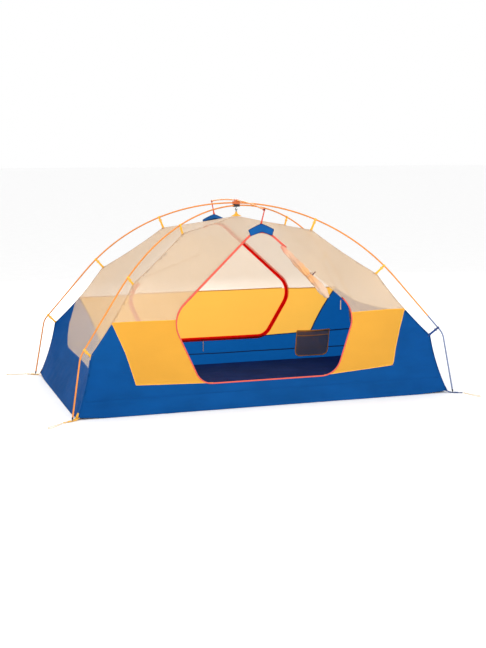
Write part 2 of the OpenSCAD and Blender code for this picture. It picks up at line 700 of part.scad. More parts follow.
module corner_straps() color("gold") at_corners() difference() {
    translate([0, corner_w / 2, 0]) rotate([90, 0, 0]) linear_extrude(corner_w) polygon([
        [half_diag + 1, corner_z - 4], [1309, strap_z - corner_t / 2], [strap_end, strap_z - corner_t / 2],
        [strap_end, strap_z + corner_t / 2], [1310, strap_z + corner_t / 2],
        [half_diag + 2, corner_z - 4 + corner_t]]);
    translate([foot_s - 0.6, 0, 0]) cylinder(r = 7.05, h = 10, $fn = 48);
    translate([eyelet_s, 0, 0]) cylinder(r = 8.05, h = 10, $fn = 48);
}

module eyelet(s, outer, inner) translate([s, 0, strap_z - 1.2]) difference() {
    cylinder(r = outer, h = 2.4, $fn = 48);
    translate([0, 0, -1]) cylinder(r = inner, h = 5, $fn = 48);
}

module corner_grommets() color("silver") at_corners() {
    eyelet(foot_s - 0.6, 7, 4.2);
    eyelet(eyelet_s, 8, eyelet_r);
}

module stake_loop(l) color("beige") {
    start = [l[1] * loop_out * half_l / half_diag, l[2] * loop_out * half_w / half_diag, 0];
    swept([for (p = loop_route) start
        + [p[0] * cos(l[3]) - p[1] * sin(l[3]), p[0] * sin(l[3]) + p[1] * cos(l[3]), p[2]]], loop_r, 8);
}

pole_a_crown_sections();
pole_a_side_sections();
pole_b_crown_sections();
pole_b_side_sections();
pole_legs_orange();
pole_legs_blue();
pole_ferrules();
pole_tips();
shock_cords();
brow_pole();
brow_pole_tips();
hub_lower();
hub_upper();
brow_saddle();
hub_rivets();
crown_hook();
apex_loop();
clip_straps();
brow_tab_front();
brow_tab_rear();
vent_hoods();
floor_sheet();
bathtub_ends();
bathtub_front();
bathtub_rear();
front_panels();
rear_panels();
mesh_ends();
mesh_front();
mesh_rear();
rear_door_mesh();
rear_door_panel();
rear_door_zip();
rolled_door();
door_toggle();
front_zip();
rear_zip();
front_slider();
front_pull();
rear_slider();
rear_pull();
mesh_pocket();
corner_straps();
corner_grommets();
for (c = CLIPS) clip(c);
for (l = LOOPS) stake_loop(l);
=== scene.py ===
"""Looks of a freestanding dome tent body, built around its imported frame.

Metres, in the frame of the part: +X along the length, -Y is the open front door, +Z up.
"""

import math

import bmesh
import bpy
import numpy as np
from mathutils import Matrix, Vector, noise
from mathutils.geometry import delaunay_2d_cdt


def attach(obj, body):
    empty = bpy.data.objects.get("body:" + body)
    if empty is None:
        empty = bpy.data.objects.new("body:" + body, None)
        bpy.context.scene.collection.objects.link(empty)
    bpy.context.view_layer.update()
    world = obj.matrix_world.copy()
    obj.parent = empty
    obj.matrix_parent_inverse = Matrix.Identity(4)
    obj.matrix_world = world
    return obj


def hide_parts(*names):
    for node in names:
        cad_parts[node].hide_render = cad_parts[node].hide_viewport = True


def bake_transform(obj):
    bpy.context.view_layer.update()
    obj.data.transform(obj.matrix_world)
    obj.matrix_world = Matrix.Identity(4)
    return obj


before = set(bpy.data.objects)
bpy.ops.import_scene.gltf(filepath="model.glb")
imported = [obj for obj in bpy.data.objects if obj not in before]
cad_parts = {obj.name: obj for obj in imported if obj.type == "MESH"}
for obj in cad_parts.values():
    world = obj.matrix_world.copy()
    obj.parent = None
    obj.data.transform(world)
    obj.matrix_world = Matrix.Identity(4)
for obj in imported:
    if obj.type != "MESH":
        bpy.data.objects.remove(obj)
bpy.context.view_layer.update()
scene = bpy.context.scene

# ---- sizes of the frame

HALF_L, HALF_W, CORNER_Z = 1.1175, 0.65, 0.012
HALF_DIAG = math.hypot(HALF_L, HALF_W)
UX, UY = HALF_L / HALF_DIAG, HALF_W / HALF_DIAG
PEAK_Z, CROWN_R, CROWN_HALF = 1.111, 1.3, math.radians(48.5)
SIDE_L, CROSS_GAP = 0.402, 0.008
CLIP_DROP, APEX_Z, FLOOR_Z = 0.06, 1.04, 0.001
WALL_LEAN = 0.2065
WALL_ANGLE = math.atan(WALL_LEAN)
PANEL_Z, REAR_PANEL_Z = 0.5, 0.513
FRONT_SILL, REAR_SILL = 0.15, 0.18
SHOULDER_Z, SILL_HALF, DOOR_PEAK = 0.511, 0.405, 1.008
DOOR_HALF = {FRONT_SILL: 0.556, REAR_SILL: 0.573}  # by the door's sill
DOOR_CORNER_R = {  # from the right of the sill round to its left
    FRONT_SILL: [0.13, 0.15, 0.114, 0.15, 0.09],
    REAR_SILL: [0.09, 0.15, 0.114, 0.15, 0.09],
}
DOOR_CUT_Z = 0.925
EDGE_X, EDGE_Y = HALF_L - 0.18, HALF_W - 0.18
PITCH = 0.014  # spacing of the points of a fabric mesh


def vec(*v):
    return np.array(v, float)


AS_IS, MIRROR = vec(1, 1, 1), vec(1, -1, 1)  # the rear is the front mirrored in the XZ plane


def unit(v):
    return v / np.linalg.norm(v)


def slope(z):
    """Distance up the sloping wall of a height."""
    return (z - CORNER_Z) / math.cos(WALL_ANGLE)


def up_wall(p):
    """A point of the front wall from its x and its distance up the slope."""
    return vec(p[0], -HALF_W + p[1] * math.sin(WALL_ANGLE), CORNER_Z + p[1] * math.cos(WALL_ANGLE))


WALL_OUT = vec(0, -math.cos(WALL_ANGLE), math.sin(WALL_ANGLE))


def on_crown(a):
    """A point of a pole's crown, in its upright plane, at an angle from the top."""
    return vec(CROWN_R * math.sin(a), PEAK_Z - CROWN_R * (1 - math.cos(a)))


SIDE_DIR = vec(math.cos(CROWN_HALF), -math.sin(CROWN_HALF))
ELBOW_TOP = on_crown(CROWN_HALF) + SIDE_L * SIDE_DIR
CLIP_A = [CROWN_HALF, math.radians(43.94), math.radians(22)]
CLIP_AT = [ELBOW_TOP - 0.0156 * SIDE_DIR, on_crown(CLIP_A[1]), on_crown(CLIP_A[2])]
HIPS = [at - CLIP_DROP * vec(math.sin(a), math.cos(a)) for at, a in zip(CLIP_AT, CLIP_A)]
FOOT_S = 1.3263

# ---- camera, light, floor

CAMERA_AZ, CAMERA_EL = math.radians(-18.35), math.radians(8.971)
CAMERA_DISTANCE, CAMERA_LENS = 7.1491, 64.17
CAMERA_AIM = Vector((0.0437, 0, 0.3710))

camera = bpy.data.objects.new("camera", bpy.data.cameras.new("camera"))
scene.collection.objects.link(camera)
camera.data.lens, camera.data.sensor_width = CAMERA_LENS, 36
camera.location = CAMERA_AIM + CAMERA_DISTANCE * Vector((
    math.sin(CAMERA_AZ) * math.cos(CAMERA_EL),
    -math.cos(CAMERA_AZ) * math.cos(CAMERA_EL),
    math.sin(CAMERA_EL),
))
camera.rotation_euler = (CAMERA_AIM - camera.location).to_track_quat("-Z", "Y").to_euler()
scene.camera = camera
scene.view_settings.view_transform = "Standard"

world = bpy.data.worlds.new("studio")
scene.world = world
world.use_nodes = True
world.node_tree.nodes["Background"].inputs["Color"].default_value = (1, 1, 1, 1)
world.node_tree.nodes["Background"].inputs["Strength"].default_value = 1.0


def area_light(name, place, target, size, power):
    data = bpy.data.lights.new(name, "AREA")
    data.size, data.energy = size, power
    light = bpy.data.objects.new(name, data)
    scene.collection.objects.link(light)
    light.location = place
    light.rotation_euler = (Vector(target) - Vector(place)).to_track_quat("-Z", "Y").to_euler()


area_light("key", (-3.2, -3.6, 4.2), (0, 0, 0.5), 3.0, 90)
area_light("fill", (1.5, -4.5, 1.2), (0, 0, 0.4), 2.5, 70)
area_light("back", (0.5, 4.5, 2.6), (0, 0, 0.5), 3.0, 120)


# ---- materials


class Shader:
    """A node material on a Principled shader, with a few short ways to wire it."""

    def __init__(self, name, roughness=0.6, **constants):
        self.mat = bpy.data.materials.new(name)
        self.mat.use_nodes = True
        self.tree = self.mat.node_tree
        self.bsdf = self.tree.nodes["Principled BSDF"]
        self.bsdf.inputs["Roughness"].default_value = roughness
        for socket, value in constants.items():
            self.bsdf.inputs[socket.replace("_", " ")].default_value = value

    def node(self, kind, settings=None, **inputs):
        n = self.tree.nodes.new("ShaderNode" + kind)
        for key, value in (settings or {}).items():
            setattr(n, key, value)
        for key, value in inputs.items():
            key = int(key[1:]) if key[1:].isdigit() else key.replace("_", " ")
            if isinstance(value, bpy.types.NodeSocket):
                self.tree.links.new(value, n.inputs[key])
            else:
                n.inputs[key].default_value = value
        return n

    def math(self, operation, a, b=0.0):
        return self.node("Math", {"operation": operation}, i0=a, i1=b).outputs[0]

    def total(self, *parts):
        """The sum of (value, weight) pairs."""
        terms = [self.math("MULTIPLY", value, weight) for value, weight in parts]
        out = terms[0]
        for term in terms[1:]:
            out = self.math("ADD", out, term)
        return out

    def coordinates(self, kind="UV"):
        return self.node("TexCoord").outputs[kind]

    def scaled(self, vector, scale):
        return self.node("Mapping", None, Vector=vector, Scale=scale).outputs[0]

    def noise(self, vector, scale, detail=3.0, roughness=0.55):
        return self.node("TexNoise", None, Vector=vector, Scale=scale, Detail=detail,
                         Roughness=roughness).outputs["Fac"]

    def ribs(self, vector, direction, pitch, distortion, detail):
        """Waves of that pitch."""
        return self.node("TexWave", {"bands_direction": direction}, Vector=vector,
                         Scale=0.05 * math.tau / pitch / 2, Distortion=distortion,
                         Detail=detail).outputs["Fac"]

    def ramp(self, fac, *stops):
        n = self.node("ValToRGB", None, Fac=fac)
        cells = n.color_ramp.elements
        for i, (place, color) in enumerate(stops):
            cell = cells[i] if i < 2 else cells.new(place)
            cell.position, cell.color = place, (*color, 1)
        return n.outputs["Color"]

    def set(self, socket, output):
        self.tree.links.new(output, self.bsdf.inputs[socket])

    def bump(self, height, distance, strength=1.0):
        n = self.node("Bump", None, Height=height, Distance=distance, Strength=strength)
        self.set("Normal", n.outputs["Normal"])

    def mixed(self, share, a, b):
        return self.node("MixShader", None, Fac=share, i1=a, i2=b).outputs[0]

    def surface(self, share, other):
        """The material's surface: the Principled shader with a share of another."""
        output = self.tree.nodes["Material Output"].inputs["Surface"]
        self.tree.links.new(self.mixed(share, self.bsdf.outputs[0], other), output)

    def let_through(self, share, color):
        """Lets that share of the light through, tinted by color."""
        self.surface(share, self.node("BsdfTranslucent", None, Color=(*color, 1)).outputs[0])

    def threads(self, uv, pitch, share):
        """1 on the threads of a plain weave of that pitch and 0 between them, and its height."""
        parts = self.node("SeparateXYZ", None, Vector=uv)
        waves = []
        for axis in ("X", "Y"):
            turn = self.math("FRACT", self.math("DIVIDE", parts.outputs[axis], pitch))
            waves.append(self.math("ABSOLUTE", self.math("SUBTRACT", turn, 0.5)))
        height = self.math("MAXIMUM", *waves)
        return self.math("GREATER_THAN", height, 0.5 - share / 2), height


WEAVE, RIPSTOP = 0.0009, 0.006  # pitches of the threads and of the coarser grid


def shade(color, factor):
    return tuple(min(1.0, c * factor) for c in color)


def cloth(name, color, tone_and_wrinkle_shade_spread=0.12, roughness=0.62, sheen=0.25, spots=3.5, through=0.0, through_tint=None,
          gloss=0.2, creases=0.0):
    """Woven fabric: a fine weave, a coarser ripstop grid, slow changes of tone, streaks of painted wrinkle
    light and shade, and creases.
    """
    s = Shader(name, roughness, Sheen_Weight=sheen, Sheen_Roughness=0.5, Specular_IOR_Level=gloss)
    uv = s.coordinates()
    fine = s.noise(uv, 260.0, 2.0)
    # Long streaks in the base colour are painted light and shade of wrinkles; the spots and the fine noise
    # are random tone.
    painted_wrinkle_shade = s.noise(s.scaled(uv, (3.0, 11.0, 1.0)), 1.0, 5.0, 0.6)
    tone = s.total((s.noise(uv, spots, 4.0), 0.45), (fine, 0.15), (painted_wrinkle_shade, 0.4))
    s.set("Base Color", s.ramp(tone, (0.36, shade(color, 1 - tone_and_wrinkle_shade_spread)), (0.64, shade(color, 1 + tone_and_wrinkle_shade_spread))))
    _, thread = s.threads(uv, WEAVE, 0.4)
    _, grid = s.threads(uv, RIPSTOP, 0.1)
    raised = s.math("POWER", s.math("MULTIPLY", grid, 2.0), 12.0)
    height = s.math("ADD", s.math("MULTIPLY", thread, 0.4), raised)
    wave = s.noise(s.scaled(uv, (5.0, 13.0, 1.0)), 1.0, 5.0, 0.5)
    ridge = s.math("POWER", s.math("ABSOLUTE", s.math("SUBTRACT", wave, 0.5)), 0.6)
    threads = s.math("ADD", height, s.math("MULTIPLY", fine, 0.8))
    s.bump(s.total((threads, 0.02), (ridge, creases)), 0.01, 0.5)
    if through:
        s.let_through(through, through_tint or shade(color, 1.25))
    return s.mat


def webbing(name, color, pitch=0.0016, through=0.0):
    """Narrow woven tape: ribs across it and slow changes of tone."""
    s = Shader(name, 0.7, Sheen_Weight=0.05, Specular_IOR_Level=0.15)
    uv = s.coordinates()
    rib = s.ribs(uv, "X", pitch, 0.6, 1.0)
    tone = s.total((rib, 0.35), (s.noise(uv, 22.0, 3.0), 0.65))
    s.set("Base Color", s.ramp(tone, (0.2, shade(color, 0.72)), (0.75, shade(color, 1.15))))
    s.bump(rib, 0.0003, 0.7)
    if through:
        s.let_through(through, shade(color, 1.2))
    return s.mat


def netting(name, color, low, high, pitch=0.0016):
    """Insect mesh: threads that cover part of what is behind them."""
    s = Shader(name, 0.8, Sheen_Weight=0.4, Specular_IOR_Level=0.15)
    uv = s.coordinates()
    on_thread, height = s.threads(uv, pitch, 0.36)
    tone = s.noise(uv, 2.2, 3.0)
    s.set("Base Color", s.ramp(tone, (0.3, shade(color, 0.94)), (0.7, shade(color, 1.04))))
    cover = s.math("ADD", s.math("MULTIPLY", on_thread, high - low), low)
    s.set("Alpha", s.math("ADD", cover, s.math("MULTIPLY", s.math("SUBTRACT", tone, 0.5), 0.12)))
    s.bump(height, 0.0002, 0.4)
    through = s.node("BsdfTranslucent", None, Color=(*shade(color, 1.2), 1)).outputs[0]
    s.surface(0.4, s.mixed(cover, s.node("BsdfTransparent").outputs[0], through))
    return s.mat


def anodised(name, color, roughness=0.32, metallic=0.75):
    """Satin anodised tube: fine draw lines, faint rub marks."""
    s = Shader(name, roughness, Metallic=metallic)
    place = s.coordinates("Object")
    lines = s.noise(s.scaled(place, (240.0, 240.0, 240.0)), 1.0, 3.0)
    worn = s.noise(place, 14.0, 5.0)
    tone = s.total((lines, 0.3), (worn, 0.7))
    s.set("Base Color", s.ramp(tone, (0.25, shade(color, 0.78)), (0.7, shade(color, 1.1))))
    s.set("Roughness", s.math("ADD", s.math("MULTIPLY", worn, 0.25), roughness - 0.1))
    s.bump(lines, 0.00005, 0.4)
    return s.mat


def moulded(name, color, roughness=0.45):
    """Moulded plastic with a fine spark-eroded grain."""
    s = Shader(name, roughness, Specular_IOR_Level=0.45)
    place = s.coordinates("Object")
    worn = s.noise(place, 60.0, 4.0)
    s.set("Base Color", s.ramp(worn, (0.3, shade(color, 0.85)), (0.75, shade(color, 1.18))))
    s.set("Roughness", s.math("ADD", s.math("MULTIPLY", worn, 0.2), roughness - 0.08))
    s.bump(s.noise(place, 900.0, 2.0), 0.00012, 0.5)
    return s.mat


def braid(name, color, fleck):
    """Braided cord: slanting plaits, every few with a fleck."""
    s = Shader(name, 0.75, Sheen_Weight=0.3, Specular_IOR_Level=0.2)
    place = s.coordinates("Object")
    plait = s.ribs(place, "DIAGONAL", 0.0022, 1.5, 2.0)
    tone = s.total((plait, 0.3), (s.noise(place, 190.0, 2.0), 0.7))
    s.set("Base Color", s.ramp(tone, (0.3, fleck), (0.45, shade(color, 0.9)), (0.75, shade(color, 1.05))))
    s.bump(plait, 0.0003, 0.6)
    return s.mat


def rolled(name):
    """The rolled door: net and coloured cloth show in turn along the roll."""
    s = Shader(name, 0.75, Sheen_Weight=0.3, Specular_IOR_Level=0.2)
    uv = s.coordinates()
    parts = s.node("SeparateXYZ", None, Vector=uv)
    patches = s.noise(s.scaled(uv, (14.0, 2.5, 1.0)), 1.0, 3.0)
    run = s.total((parts.outputs["X"], 2.6), (patches, 0.22))
    s.set("Base Color", s.ramp(run, (0.10, (0.62, 0.20, 0.13)), (0.26, (0.66, 0.40, 0.26)),
                               (0.42, (0.56, 0.33, 0.21)), (0.58, (0.72, 0.36, 0.15)),
                               (0.76, (0.72, 0.35, 0.14)), (0.98, (0.62, 0.43, 0.30))))
    s.bump(s.noise(s.scaled(uv, (30.0, 9.0, 1.0)), 1.0, 4.0), 0.002, 0.5)
    return s.mat


# Linear colours.
YELLOW, BLUE = (0.96, 0.47, 0.055), (0.003, 0.088, 0.32)
TAN, CORAL, RED = (0.75, 0.575, 0.39), (0.70, 0.11, 0.075), (1.0, 0.028, 0.014)
GOLD, ORANGE = (0.95, 0.46, 0.045), (0.80, 0.27, 0.035)

MAT = {
    "stake_cord": braid("cord_braid", (0.75, 0.62, 0.42), (0.80, 0.50, 0.18)),
    "pole_orange": anodised("tube_orange", ORANGE, 0.45, 0.3),
    "pole_blue": anodised("tube_blue", (0.16, 0.20, 0.34), 0.45, 0.3),
    "ferrule": anodised("bare_metal", (0.62, 0.62, 0.64), 0.28),
    "tip": anodised("dark_metal", (0.02, 0.02, 0.024), 0.4),
    "elastic": braid("elastic_braid", (0.7, 0.7, 0.7), (0.1, 0.1, 0.1)),
    "hub_plastic": moulded("black_nylon", (0.012, 0.012, 0.014)),
    "hub_orange": moulded("orange_nylon", (0.62, 0.13, 0.025)),
    "clip_yellow": moulded("yellow_acetal", GOLD, 0.4),
    "clip_blue": moulded("blue_acetal", (0.012, 0.035, 0.14), 0.4),
    "webbing_yellow": webbing("yellow_webbing", GOLD),
    "webbing_blue": webbing("blue_webbing", (0.012, 0.05, 0.2)),
    "webbing_red": webbing("red_webbing", (0.66, 0.07, 0.035)),
    "hood_blue": cloth("hood_fabric", (0.003, 0.075, 0.26), 0.22, sheen=0.02, gloss=0.08, creases=0.3),
    "floor_fabric": cloth("floor_fabric", (0.010, 0.030, 0.150), 0.25, sheen=0, roughness=0.8, gloss=0.05,
                          spots=5.0, creases=0.3),
    "bathtub_fabric": cloth("blue_taffeta", BLUE, 0.2, sheen=0, roughness=0.6, through=0.42, gloss=0.06,
                            creases=0.45),
    "panel_fabric": cloth("yellow_taffeta", YELLOW, 0.06, sheen=0.05, through=0.5,
                          through_tint=(1.0, 0.54, 0.085), gloss=0.1, creases=0.12),
    "mesh": netting("tan_mesh", TAN, 0.42, 0.94),
    "pocket_mesh": netting("dark_mesh", (0.26, 0.17, 0.12), 0.80, 0.98, 0.0022),
    "toggle_plastic": moulded("red_plastic", (0.10, 0.008, 0.008), 0.35),
    "zip_coral": webbing("coral_tape", CORAL, 0.0011),
    "zip_red": webbing("red_tape", RED, 0.0011, through=0.85),
    "coil_coral": moulded("coral_coil", shade(CORAL, 0.75)),
    "coil_red": moulded("red_coil", shade(RED, 0.7)),
    "slider_metal": anodised("enamel", (0.30, 0.012, 0.012), 0.35),
    "pull_cord": braid("pull_braid", (0.62, 0.42, 0.20), (0.45, 0.25, 0.10)),
    "binding_tan": webbing("tan_binding", (0.74, 0.55, 0.37), 0.0011, through=0.4),
    "binding_brown": webbing("brown_binding", (0.80, 0.31, 0.055), 0.0011),
    # Navy tape for the hood edges; on the rear seams its dark colour is painted seam shadow.
    "binding_navy_and_seam_shadow": webbing("navy_binding_and_seam_shadow", (0.010, 0.03, 0.11), 0.0011),
    "binding_gold": webbing("gold_binding", shade(YELLOW, 0.92), 0.0011),
    "binding_blue": webbing("blue_binding", shade(BLUE, 0.85), 0.0011),
    "webbing_maroon": webbing("maroon_elastic", (0.16, 0.012, 0.010), 0.0011),
    "rolled_mesh": rolled("rolled_cloth"),
}


# ---- making pieces


def mesh_object(name, verts, faces, uvs=None, material=None, smooth=True):
    mesh = bpy.data.meshes.new(name)
    mesh.from_pydata([tuple(v) for v in verts], [], [tuple(int(i) for i in f) for f in faces])
    mesh.polygons.foreach_set("use_smooth", [smooth] * len(mesh.polygons))
    if uvs is not None:
        layer = mesh.uv_layers.new(name="flat")
        loops = np.empty(len(mesh.loops), int)
        mesh.loops.foreach_get("vertex_index", loops)
        layer.data.foreach_set("uv", np.asarray(uvs, np.float32)[loops].ravel())
    obj = bpy.data.objects.new(name, mesh)
    scene.collection.objects.link(obj)
    if material:
        mesh.materials.append(material)
    return obj


def place(obj, slot, body="root", replaces=()):
    """Ride and replaced nodes of a piece, all at once. Its slot is not used."""
    if body:
        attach(obj, body)
    if replaces:
        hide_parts(*replaces)
    return obj


def smoothed(points, per=6):
    """A Catmull-Rom line through points."""
    p = [vec(*q) for q in points]
    p = [2 * p[0] - p[1], *p, 2 * p[-1] - p[-2]]
    out = []
    for a, b, c, d in zip(p, p[1:], p[2:], p[3:]):
        for i in range(per):
            t = i / per
            out.append(0.5 * (2 * b + (c - a) * t + (2 * a - 5 * b + 4 * c - d) * t**2
                              + (3 * b - a - 3 * c + d) * t**3))
    return np.array([*out, p[-2]])


def line_curve(name, points, radius, material):
    curve = bpy.data.curves.new(name, "CURVE")
    curve.dimensions = "3D"
    curve.bevel_depth, curve.bevel_resolution, curve.use_fill_caps = radius, 3, True
    spline = curve.splines.new("POLY")
    spline.points.add(len(points) - 1)
    for point, p in zip(spline.points, points):
        point.co = (*p, 1)
    curve.materials.append(material)
    obj = bpy.data.objects.new(name, curve)
    scene.collection.objects.link(obj)
    return obj


def circle(count):
    """Angles evenly round a circle."""
    return np.linspace(0, math.tau, count + 1)[:-1]


def distances(points):
    """How far along a line each of its points is."""
    return np.concatenate([[0], np.cumsum(np.linalg.norm(np.diff(points, axis=0), axis=1))])


def directions(pts, closed):
    """Unit directions of a line at its points."""
    ahead, behind = np.roll(pts, -1, 0), np.roll(pts, 1, 0)
    if not closed:
        ahead[-1], behind[0] = pts[-1], pts[0]
    along = ahead - behind
    return along / np.maximum(np.linalg.norm(along, axis=1), 1e-9)[:, None]


def skin(n, k, closed=False):
    """Faces over n rings of k points each, with caps at both ends unless it is closed."""
    faces = [(i * k + j, i * k + (j + 1) % k, (i + 1) % n * k + (j + 1) % k, (i + 1) % n * k + j)
             for i in range(n if closed else n - 1) for j in range(k)]
    caps = [] if closed else [tuple(range(k))[::-1], tuple((n - 1) * k + j for j in range(k))]
    return faces + caps


def tube_mesh(points, radius, sides=10, closed=False):
    """Vertices, faces and UVs of a round tube. radius is one number or one per point."""
    pts = np.asarray(points, float)
    n = len(pts)
    radii = np.broadcast_to(radius, n)
    along = directions(pts, closed)
    side = np.cross(along[0], vec(0, 0, 1) if abs(along[0][2]) < 0.9 else vec(1, 0, 0))
    verts, uvs = [], []
    far = distances(pts)
    for i in range(n):
        side = unit(side - along[i] * (side @ along[i]))
        up = np.cross(along[i], side)
        for j in range(sides):
            a = math.tau * j / sides
            verts.append(pts[i] + radii[i] * (math.cos(a) * side + math.sin(a) * up))
            uvs.append((far[i], radii[i] * a))
    return verts, skin(n, sides, closed), uvs


def joined(parts):
    """Several (verts, faces, uvs) as one."""
    verts, faces, uvs = [], [], []
    for v, f, u in parts:
        faces += [tuple(i + len(verts) for i in face) for face in f]
        verts += list(v)
        uvs += list(u)
    return verts, faces, uvs


TAPE_SECTION = [(-0.5, 0), (-0.47, 0.5), (-0.32, 0.6), (0, 0.5), (0.32, 0.6), (0.47, 0.5),
                (0.5, 0), (0.47, -0.5), (0.32, -0.6), (0, -0.5), (-0.32, -0.6), (-0.47, -0.5)]


def tape_mesh(points, normals, width, thick, closed=False, lift=0.0):
    """A flat tape along points, its face along normals and off by lift."""
    pts, nrm = np.asarray(points, float), np.asarray(normals, float)
    n = len(pts)
    widths = np.broadcast_to(width, n)
    along = directions(pts, closed)
    side = np.cross(along, np.broadcast_to(nrm, pts.shape))
    side /= np.linalg.norm(side, axis=1)[:, None]
    out = np.cross(side, along)
    far = distances(pts)
    verts = [pts[i] + side[i] * x * widths[i] + out[i] * (lift + y * thick)
             for i in range(n) for x, y in TAPE_SECTION]
    uvs = [(far[i], x * widths[i]) for i in range(n) for x, y in TAPE_SECTION]
    return verts, skin(n, len(TAPE_SECTION), closed), uvs


def make(name, parts, material, slot, body="root", replaces=()):
    """One piece from several (verts, faces, uvs)."""
    v, f, u = joined(parts)
    return place(mesh_object(name, v, f, u, MAT[material]), slot, body, replaces)


def resampled(points, pitch, closed=False):
    """The same line with its points about pitch apart."""
    pts = np.asarray(points, float)
    if closed:
        pts = np.vstack([pts, pts[:1]])
    far = distances(pts)
    count = max(1, round(far[-1] / pitch))
    at = np.linspace(0, far[-1], count + 1)
    out = np.stack([np.interp(at, far, pts[:, k]) for k in range(pts.shape[1])], 1)
    return out[:-1] if closed else out


# ---- stake-out cords

LOOP_ROUTE = [
    (0, 4, 3), (16, 4, 2), (34, 6, 1.5), (54, 8, 1.5), (74, 10, 1.5), (94, 11, 1.5), (110, 11, 1.5),
    (121, 8, 1.5), (127, 2, 1.5), (127, -5, 1.5), (120, -11, 1.5), (108, -13, 1.5), (92, -12, 1.5),
    (72, -9, 1.5), (52, -7, 1.5), (34, -5, 1.5), (16, -4, 2), (0, -4, 3)]
LOOP_OUT, LOOP_R, LOOP_LENGTH = 1.3892, 0.0015, 0.267
LOOP_HEADINGS = {  # degrees
    ("front", "left"): 225, ("rear", "left"): 170,
    ("front", "right"): 292, ("rear", "right"): 10,
}


def stake_loop(depth, side):
    sx, sy = (-1 if side == "left" else 1), (-1 if depth == "front" else 1)
    turn = math.radians(LOOP_HEADINGS[depth, side])
    ahead, across = vec(math.cos(turn), math.sin(turn), 0), vec(-math.sin(turn), math.cos(turn), 0)
    start = vec(sx * LOOP_OUT * UX, sy * LOOP_OUT * UY, 0)
    line = smoothed([start + (ahead * x + across * y + vec(0, 0, z)) / 1000 for x, y, z in LOOP_ROUTE])
    cord = line_curve(f"cord_{depth}_{side}", line, LOOP_R, MAT["stake_cord"])
    place(cord, "stake_cord", replaces=[f"stake_loop_{depth}_{side}"])


for depth_name, side_name in LOOP_HEADINGS:
    stake_loop(depth_name, side_name)

# ---- carried-over hardware

CARRIED = {
    "pole_orange": ["pole_a_crown_sections", "pole_a_side_sections", "pole_b_crown_sections",
                    "pole_b_side_sections", "pole_legs_orange", "brow_pole"],
    "pole_blue": ["pole_legs_blue"],
    "ferrule": ["pole_ferrules", "hub_rivets", "corner_grommets"],
    "tip": ["pole_tips", "brow_pole_tips"],
    "elastic": ["shock_cords"],
    "hub_plastic": ["hub_lower", "crown_hook"],
    "hub_orange": ["hub_upper", "brow_saddle"],
}
LEGS = {  # which pole, and which of its ends
    ("front", "left"): (-1, -1), ("rear", "right"): (-1, 1),
    ("rear", "left"): (1, -1), ("front", "right"): (1, 1),
}
LEVELS = ["low", "middle", "top"]
for leg, (_, side) in LEGS.items():
    for level in LEVELS:
        kind = "clip_blue" if side > 0 and level == "low" else "clip_yellow"
        CARRIED.setdefault(kind, []).append(f"clip_{leg[0]}_{leg[1]}_{level}")
for kind, names in CARRIED.items():
    for name in names:
        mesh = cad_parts[name].data
        mesh.materials.clear()
        mesh.materials.append(MAT[kind])
        mesh.polygons.foreach_set("material_index", [0] * len(mesh.polygons))

# ---- outlines of the doors


def door_corners(sill):
    half = DOOR_HALF[sill]
    return [vec(SILL_HALF, slope(sill)), vec(half, slope(SHOULDER_Z)), vec(0, slope(DOOR_PEAK)),
            vec(-half, slope(SHOULDER_Z)), vec(-SILL_HALF, slope(sill))]


def door_outline(sill, off=0.0, steps=12):
    """The rounded outline in the wall's own plane, from the right of the sill round to its left."""
    corners = door_corners(sill)
    n = len(corners)
    shifted = []
    for i in range(n):
        p, q, r = corners[i - 1], corners[i], corners[(i + 1) % n]
        d, e = unit(q - p), unit(r - q)
        a, b = q + off * vec(d[1], -d[0]), q + off * vec(e[1], -e[0])
        t = ((b - a)[0] * e[1] - (b - a)[1] * e[0]) / (d[0] * e[1] - d[1] * e[0])
        shifted.append(a + d * t)
    out = []
    for i in range(n):
        p, q, r = shifted[i - 1], shifted[i], shifted[(i + 1) % n]
        d, e, rad = unit(q - p), unit(r - q), DOOR_CORNER_R[sill][i] + off
        turn = math.acos(d @ e)
        centre = q - d * rad * math.tan(turn / 2) + rad * vec(-d[1], d[0])
        first = math.atan2(-d[0], d[1])
        out += [centre + rad * vec(math.cos(first + turn * s / steps), math.sin(first + turn * s / steps))
                for s in range(steps + 1)]
    return np.array(out)


# ---- hips: the four corner seams

HIP_FRONT_S = [0.0, 0.338, 0.711, 1.036, 1.340]  # their distances up the flat pattern of a side wall
HIP_END_S = [0.0, 0.344, 0.801, 1.229, 1.638]  # and of an end wall
HIP_SAG = [0.012, 0.012, 0.008, 0.003]


def hip_samples():
    """Points of a hip: (stretch and share, s outward, z) in its upright plane."""
    ends = [vec(HALF_DIAG, CORNER_Z), *HIPS, vec(0, APEX_Z)]
    out = []
    for k in range(4):
        a, b = ends[k], ends[k + 1]
        inward = unit(vec(a[1] - b[1], b[0] - a[0]))
        if inward @ vec(-1, -1) < 0:
            inward = -inward
        count = round(np.linalg.norm(b - a) / PITCH)
        for i in range(count):
            t = i / count
            out.append((k + t, *(a + (b - a) * t + inward * HIP_SAG[k] * 4 * t * (1 - t))))
    out.append((4.0, 0.0, APEX_Z))
    return np.array(out)


HIP = hip_samples()


def hip_3d(sx, sy):
    return np.stack([sx * HIP[:, 1] * UX, sy * HIP[:, 1] * UY, HIP[:, 2]], 1)


def hip_index(k, z):
    """The sample of stretch k that is nearest to a height."""
    near = np.where((HIP[:, 0] >= k) & (HIP[:, 0] <= k + 1))[0]
    return near[np.argmin(abs(HIP[near, 2] - z))]


def hip_flat(across, up):
    """The hip in a flat pattern: across and up give its values at the five ends of its stretches."""
    return np.stack([np.interp(HIP[:, 0], range(5), across), np.interp(HIP[:, 0], range(5), up)], 1)


HIP_X = [HALF_L, *(h[0] * UX for h in HIPS), 0.0]
HIP_Y = [HALF_W, *(h[0] * UY for h in HIPS), 0.0]
FRONT_HIP = hip_flat(HIP_X, HIP_FRONT_S)
END_HIP = hip_flat(HIP_Y, HIP_END_S)

# ---- flat pattern to tensioned cloth


